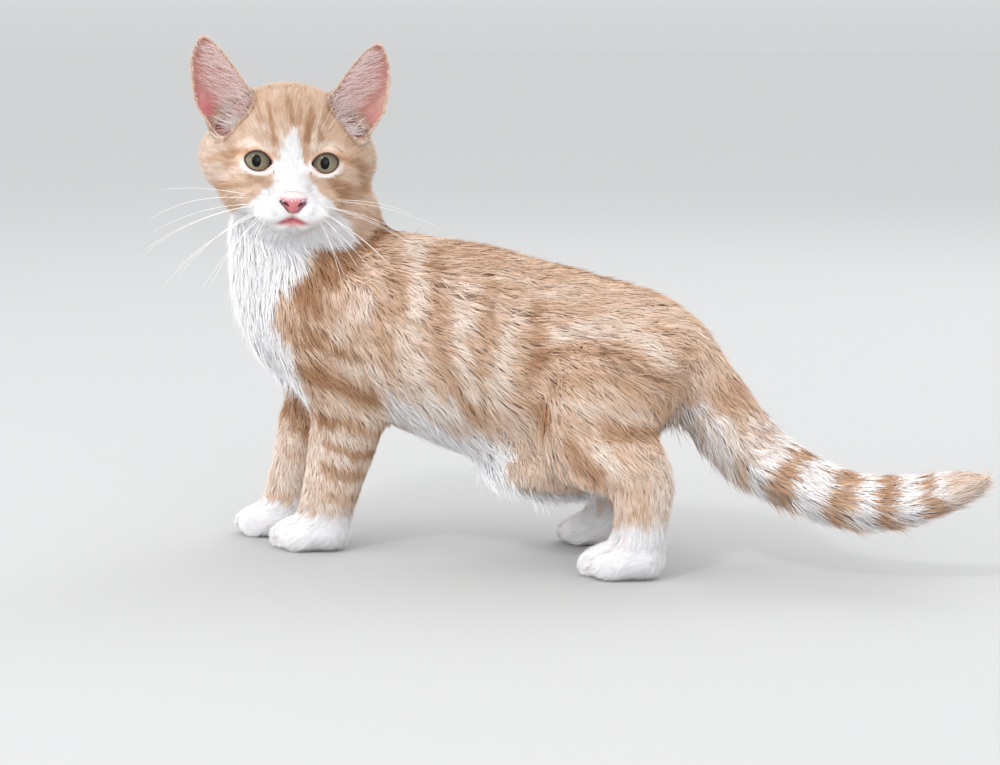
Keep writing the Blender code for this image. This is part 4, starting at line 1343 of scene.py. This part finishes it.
class KITTEN_OT_nose(bpy.types.Operator):
    """The nose leather, pebbled, with its nostrils painted dark as painted shade"""

    bl_idname = "kitten.nose"
    bl_label = "Nose"

    def execute(self, context):
        shell = bmesh.new()
        shell.from_mesh(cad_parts["nose"].data)
        bmesh.ops.remove_doubles(shell, verts=shell.verts, dist=0.002 * MM)
        points, normals, triangles = bridged(shell, 0.26, 5)
        shell.free()
        made = mesh_object("nose_leather", points, triangles)
        local = to_head(points)
        # the nostrils, whose openings are painted dark as painted shade
        away = along_path(np.stack((np.abs(local[:, 0]), local[:, 1]), axis=1), NOSTRIL)[1]
        set_attribute(made, "hollow", "FLOAT", ramp(-away, -0.8, -0.25).astype(np.float32))
        set_attribute(made, "furred", "FLOAT", above_leather(local).astype(np.float32))
        face = context.scene.kitten_face
        paint = Paint("nose", 0.45, 0.4)
        hollow = paint.add("Attribute", attribute_name="hollow", output=2)
        furred = paint.add("Attribute", attribute_name="furred", output=2)
        leather = paint.mottled(tuple(face.leather), 900.0, 0.1)
        # painted shade in the nostrils' openings
        leather = paint.mix(hollow, leather, tuple(part * 0.16 for part in face.leather))
        # the pale pink of the short fur on the bridge, kept dim as painted shade like that in the fur round it
        paint.colour(paint.mix(furred, leather, (0.68, 0.56, 0.56)))
        paint.bump(2600.0, 0.12)
        settle(made, "nose_skin", paint.material, "nose")

        skin_points, skin_normals, skin_triangles = read_mesh(bpy.data.objects["skin"].data)
        covers = np.concatenate((points + normals * 0.8, skin_points + skin_normals * 0.8))
        cover_faces = np.concatenate((triangles, skin_triangles + len(points)))
        outer = BVHTree.FromPolygons(covers.tolist(), cover_faces.tolist())
        owners = np.full(len(points), FLESH.index("head"))
        middles, _, areas = face_sizes(points, triangles)
        lengths = coat_rows(middles, owners[triangles[:, 0]])[1]
        width, rings, layers = FUR["head"]
        density = layers * 2 / (lengths * width) * (above_leather(to_head(middles)) > 0.5)
        grow("coat_nose_bridge", points, normals, triangles, owners, areas, density, outer, width, rings)
        return {"FINISHED"}


def above_leather(local):
    """How far a place on the nose is past the leather's upper edge, onto the short fur of the bridge."""
    u, v = local[:, 0], local[:, 1]
    return ramp(v + 15.1 - 0.12 * np.abs(u), -0.6, 0.9)


class KITTEN_OT_lids(bpy.types.Operator):
    """The dark rims of the lids, and the corner of each eye beside the nose"""

    bl_idname = "kitten.lids"
    bl_label = "Lid rims"

    def execute(self, context):
        tree = skin_tree()
        lean = math.radians(LID_LEAN)
        turns = np.linspace(0, 2 * math.pi, 65)
        paint = Paint("lid rim", 0.35, 0.5)
        paint.colour(paint.mottled((0.055, 0.022, 0.018), 900.0, 0.3))
        paint.bump(2200.0, 0.05)
        for side, sign in SIDES.items():
            corner = 1 + np.where(np.cos(turns) < 0, 0.2, 0.06) * np.abs(np.cos(turns)) ** 9
            p = LID_WIDE * 1.02 * corner * np.cos(turns)
            q = LID_HIGH * 1.02 * np.sin(turns)
            u = p * math.cos(lean) - q * math.sin(lean)
            v = p * math.sin(lean) + q * math.cos(lean)
            w = EYE_BACK + np.sqrt(np.maximum(EYEBALL**2 - u**2 - v**2, 4.0)) + 0.25
            rim = from_head(np.stack((sign * (EYE_SPACING / 2 + u), v, w), axis=1))
            radii = 0.30 + 0.16 * ramp(np.sin(turns), -0.3, 0.6)
            made = tubes(f"lid_rim_{side}", rim[None], radii[None], 8)
            settle(made, "coat_ginger", paint.material)
            tears = [on_face(tree, sign * u, v, 0.12) for u, v in TEAR_LINE]
            radii = np.linspace(0.42, 0.12, len(tears))
            made = tubes(f"eye_corner_{side}", np.array(tears)[None], radii[None], 8)
            settle(made, "coat_ginger", paint.material)
        return {"FINISHED"}


class KITTEN_OT_whiskers(bpy.types.Operator):
    """The white whiskers of the muzzle and of the brows"""

    bl_idname = "kitten.whiskers"
    bl_label = "Whiskers"

    def execute(self, context):
        tree = skin_tree()
        thick = context.scene.kitten_face.whisker
        paint = Paint("whisker", 0.4, 0.5)
        paint.colour(paint.mottled((0.88, 0.85, 0.82), 120.0, 0.08))
        for side, sign in SIDES.items():
            rng = np.random.default_rng(5 if sign > 0 else 6)
            starts, middles, ends = [], [], []
            for (u, v), way, length, droop in WHISKERS:
                way = unit(np.array((sign * way[0], way[1], way[2])) + rng.normal(size=3) * 0.05)
                way = HEAD_TURNED @ way
                start = on_face(tree, sign * u, v, 0.6)
                down = np.array((0, 0, -droop * rng.uniform(0.8, 1.3)))
                starts.append(start)
                middles.append(start + way * length * 0.55)
                ends.append(start + way * length * rng.uniform(0.9, 1.05) + down)
            paths = curved(np.array(starts), np.array(middles), np.array(ends), 16)
            strong = np.array([1.0 if droop > 0 else 0.6 for _, _, _, droop in WHISKERS])
            radii = strong[:, None] * np.linspace(thick / 2, 0.04, 16)
            settle(tubes(f"whiskers_{side}", paths, radii, 6), "coat_white", paint.material)
        return {"FINISHED"}


class KITTEN_OT_ear_hair(bpy.types.Operator):
    """The long pale hairs that cross the hollow of each ear"""

    bl_idname = "kitten.ear_hair"
    bl_label = "Ear hair"

    def execute(self, context):
        count = context.scene.kitten_face.ear_hairs
        near = np.array(EAR_NEAR, float)
        for side, sign in SIDES.items():
            rng = np.random.default_rng(21 if sign > 0 else 22)
            height = 12 + 35 * rng.random(count) ** 0.9
            inward = rng.random(count) ** 1.6 * np.interp(height, (11, 20, 32, 47), (6, 9, 15, 5))
            roots = np.stack([np.interp(height, near[:, 1], near[:, k]) for k in range(3)], axis=1)
            roots[:, 0] += inward
            roots[:, 2] -= 0.8 + inward * 0.35
            long = (9.5 - 0.12 * (height - 11)) * rng.uniform(0.6, 1.35, count)
            way = np.array((0.92, 0.36, 0.10)) + rng.normal(size=(count, 3)) * (0.16, 0.2, 0.10)
            low = ramp(-height, -21, -13)[:, None]
            low_way = np.array((0.8, 0.05, 0.30)) + rng.normal(size=(count, 3)) * 0.28
            way = unit(way * (1 - low) + low * low_way)
            arch = np.array((0, 0.2, 0.9)) * rng.uniform(0.4, 1.6, (count, 1))
            middles = roots + way * long[:, None] * 0.5 + arch
            ends = roots + way * long[:, None] + np.array((0, 0, -1.0)) * rng.uniform(0.2, 1.5, (count, 1))
            mirrored = [from_head(part * (sign, 1, 1)) for part in (roots, middles, ends)]
            spines = curved(*mirrored, 4)
            across = unit(np.cross(HEAD_TURNED[:, 2], spines[:, -1] - spines[:, 0]))
            above = np.tile(HEAD_TURNED[:, 2], (count, 1))
            flesh = 0.5 - 0.46 * low[:, 0]
            marks = np.stack((rng.uniform(0, 0.3, count), rng.uniform(0, 0.3, count), flesh), axis=1)
            uv = box_unwrap(spines[:, 0], above)
            widths = rng.uniform(0.08, 0.15, count)
            tones = rng.random(count)
            made = tuft_mesh(f"ear_hair_{side}", spines, widths, across, above, above, uv, marks, tones)
            settle(made, "coat_white", fur_paint("coat"))
            settle(ear_fringe(side, sign, rng), "coat_white", fur_paint("coat"))
        return {"FINISHED"}


def ear_fringe(side, sign, rng):
    """The short pale hairs that stand along the rims of an ear."""
    count = FRINGE_HAIRS
    roots, ways = [], []
    for rim, outward in ((EAR_NEAR, (-0.75, 0.45, 0.35)), (EAR_FAR, (0.8, 0.25, 0.45))):
        rim = np.array(rim, float)
        place = 1.0 + rng.random(count) * (len(rim) - 2.4)
        stops = np.arange(len(rim))
        roots.append(np.stack([np.interp(place, stops, rim[:, k]) for k in range(3)], axis=1))
        along = np.stack([np.interp(place, stops, np.gradient(rim[:, k])) for k in range(3)], axis=1)
        ways.append(unit(along) * 0.35 + np.array(outward))
    roots, ways = np.concatenate(roots), np.concatenate(ways)
    ways = unit(ways + rng.normal(size=ways.shape) * 0.25)
    long = (rng.uniform(1.2, 2.6, len(roots)) * (1 - 0.4 * ramp(roots[:, 1], 42, 52)))[:, None]
    roots = roots - ways * 0.5 + rng.normal(size=roots.shape) * 0.25
    ends = roots + ways * long
    middles = roots + ways * long * 0.5 + np.array((0, 0, 0.4))
    spines = curved(*(from_head(part * (sign, 1, 1)) for part in (roots, middles, ends)), 3)
    across = unit(np.cross(HEAD_TURNED[:, 2], spines[:, -1] - spines[:, 0]))
    above = np.tile(HEAD_TURNED[:, 2], (len(roots), 1))
    shares = rng.random((3, len(roots)))
    marks = np.stack((0.6 + 0.4 * shares[0], 0.6 * shares[1], 0.2 + 0 * shares[0]), axis=1)
    uv = box_unwrap(spines[:, 0], above)
    widths = 0.1 + 0.07 * shares[2]
    return tuft_mesh(f"ear_fringe_{side}", spines, widths, across, above, above, uv, marks, shares[1])


class KITTEN_OT_stage(bpy.types.Operator):
    """A plain pale floor, soft studio light and the camera"""

    bl_idname = "kitten.stage"
    bl_label = "Stage"

    def execute(self, context):
        stage = context.scene.kitten_stage
        bpy.ops.mesh.primitive_plane_add(size=60, location=(0, 0, 0))
        floor = context.active_object
        floor.name = "floor"
        paint = Paint("pale floor", 0.9, 0.05)
        paint.colour((stage.floor,) * 3)
        floor.data.materials.append(paint.material)
        world = bpy.data.worlds.new("soft room")
        world.use_nodes = True
        tree = world.node_tree
        place = tree.nodes.new("ShaderNodeTexCoord")
        height = tree.nodes.new("ShaderNodeSeparateXYZ")
        dome = tree.nodes.new("ShaderNodeMapRange")
        tree.links.new(place.outputs["Generated"], height.inputs[0])
        tree.links.new(height.outputs["Z"], dome.inputs[0])
        for index, value in enumerate((0.0, 0.5, 0.42 * stage.sky, 0.95 * stage.sky), 1):
            dome.inputs[index].default_value = value
        tree.links.new(dome.outputs[0], tree.nodes["Background"].inputs["Strength"])
        tree.nodes["Background"].inputs["Color"].default_value = (0.98, 0.99, 1.0, 1)
        context.scene.world = world
        key = stage.key
        lamps = (
            ("key", (-0.45, -1.35, 1.65), 0.25, key),
            ("front", (-1.5, -0.85, 0.35), 1.2, key * 1.8),
            ("side", (0.9, -1.6, 0.5), 1.2, key * 1.1),
            ("back", (0.4, 1.2, 1.2), 0.9, key * 0.6),
        )
        for name, spot, size, power in lamps:
            light = bpy.data.lights.new(name, "AREA")
            light.size = size
            light.energy = power
            lamp = bpy.data.objects.new(name, light)
            lamp.location = spot
            aim = Vector((0, 0, 0.1)) - lamp.location
            lamp.rotation_euler = aim.to_track_quat("-Z", "Y").to_euler()
            context.scene.collection.objects.link(lamp)
        camera = bpy.data.cameras.new("camera")
        camera.lens = 86.4
        camera.sensor_width = 36
        view = bpy.data.objects.new("camera", camera)
        view.location = (0.2213, -0.9641, 0.2194)
        view.rotation_euler = (math.radians(90 - 8.29), 0, math.radians(15))
        context.scene.collection.objects.link(view)
        context.scene.camera = view
        context.scene.view_settings.view_transform = "Standard"
        return {"FINISHED"}


class KITTEN_PT_panel(bpy.types.Panel):
    """Builds the kitten piece by piece"""

    bl_idname = "KITTEN_PT_panel"
    bl_label = "Kitten"
    bl_space_type = "VIEW_3D"
    bl_region_type = "UI"
    bl_category = "Kitten"

    def draw(self, context):
        for setting, group in SETTINGS.items():
            box = self.layout.box()
            for name in group.__annotations__:
                box.prop(getattr(context.scene, setting), name)
        for operator in OPERATORS:
            self.layout.operator(operator.bl_idname)


SETTINGS = {
    "kitten_colours": KITTEN_PG_colours,
    "kitten_face": KITTEN_PG_face,
    "kitten_stage": KITTEN_PG_stage,
}
OPERATORS = (
    KITTEN_OT_skin,
    KITTEN_OT_coat,
    KITTEN_OT_eyes,
    KITTEN_OT_nose,
    KITTEN_OT_lids,
    KITTEN_OT_whiskers,
    KITTEN_OT_ear_hair,
    KITTEN_OT_stage,
)
CLASSES = (*SETTINGS.values(), *OPERATORS, KITTEN_PT_panel)


def register():
    for cls in CLASSES:
        bpy.utils.register_class(cls)
    for name, group in SETTINGS.items():
        setattr(bpy.types.Scene, name, bpy.props.PointerProperty(type=group))


def unregister():
    for name in SETTINGS:
        delattr(bpy.types.Scene, name)
    for cls in reversed(CLASSES):
        bpy.utils.unregister_class(cls)


def main():
    register()
    bpy.ops.kitten.skin()
    bpy.ops.kitten.coat()
    bpy.ops.kitten.eyes()
    bpy.ops.kitten.nose()
    bpy.ops.kitten.lids()
    bpy.ops.kitten.whiskers()
    bpy.ops.kitten.ear_hair()
    bpy.ops.kitten.stage()


if __name__ == "__main__":
    main()
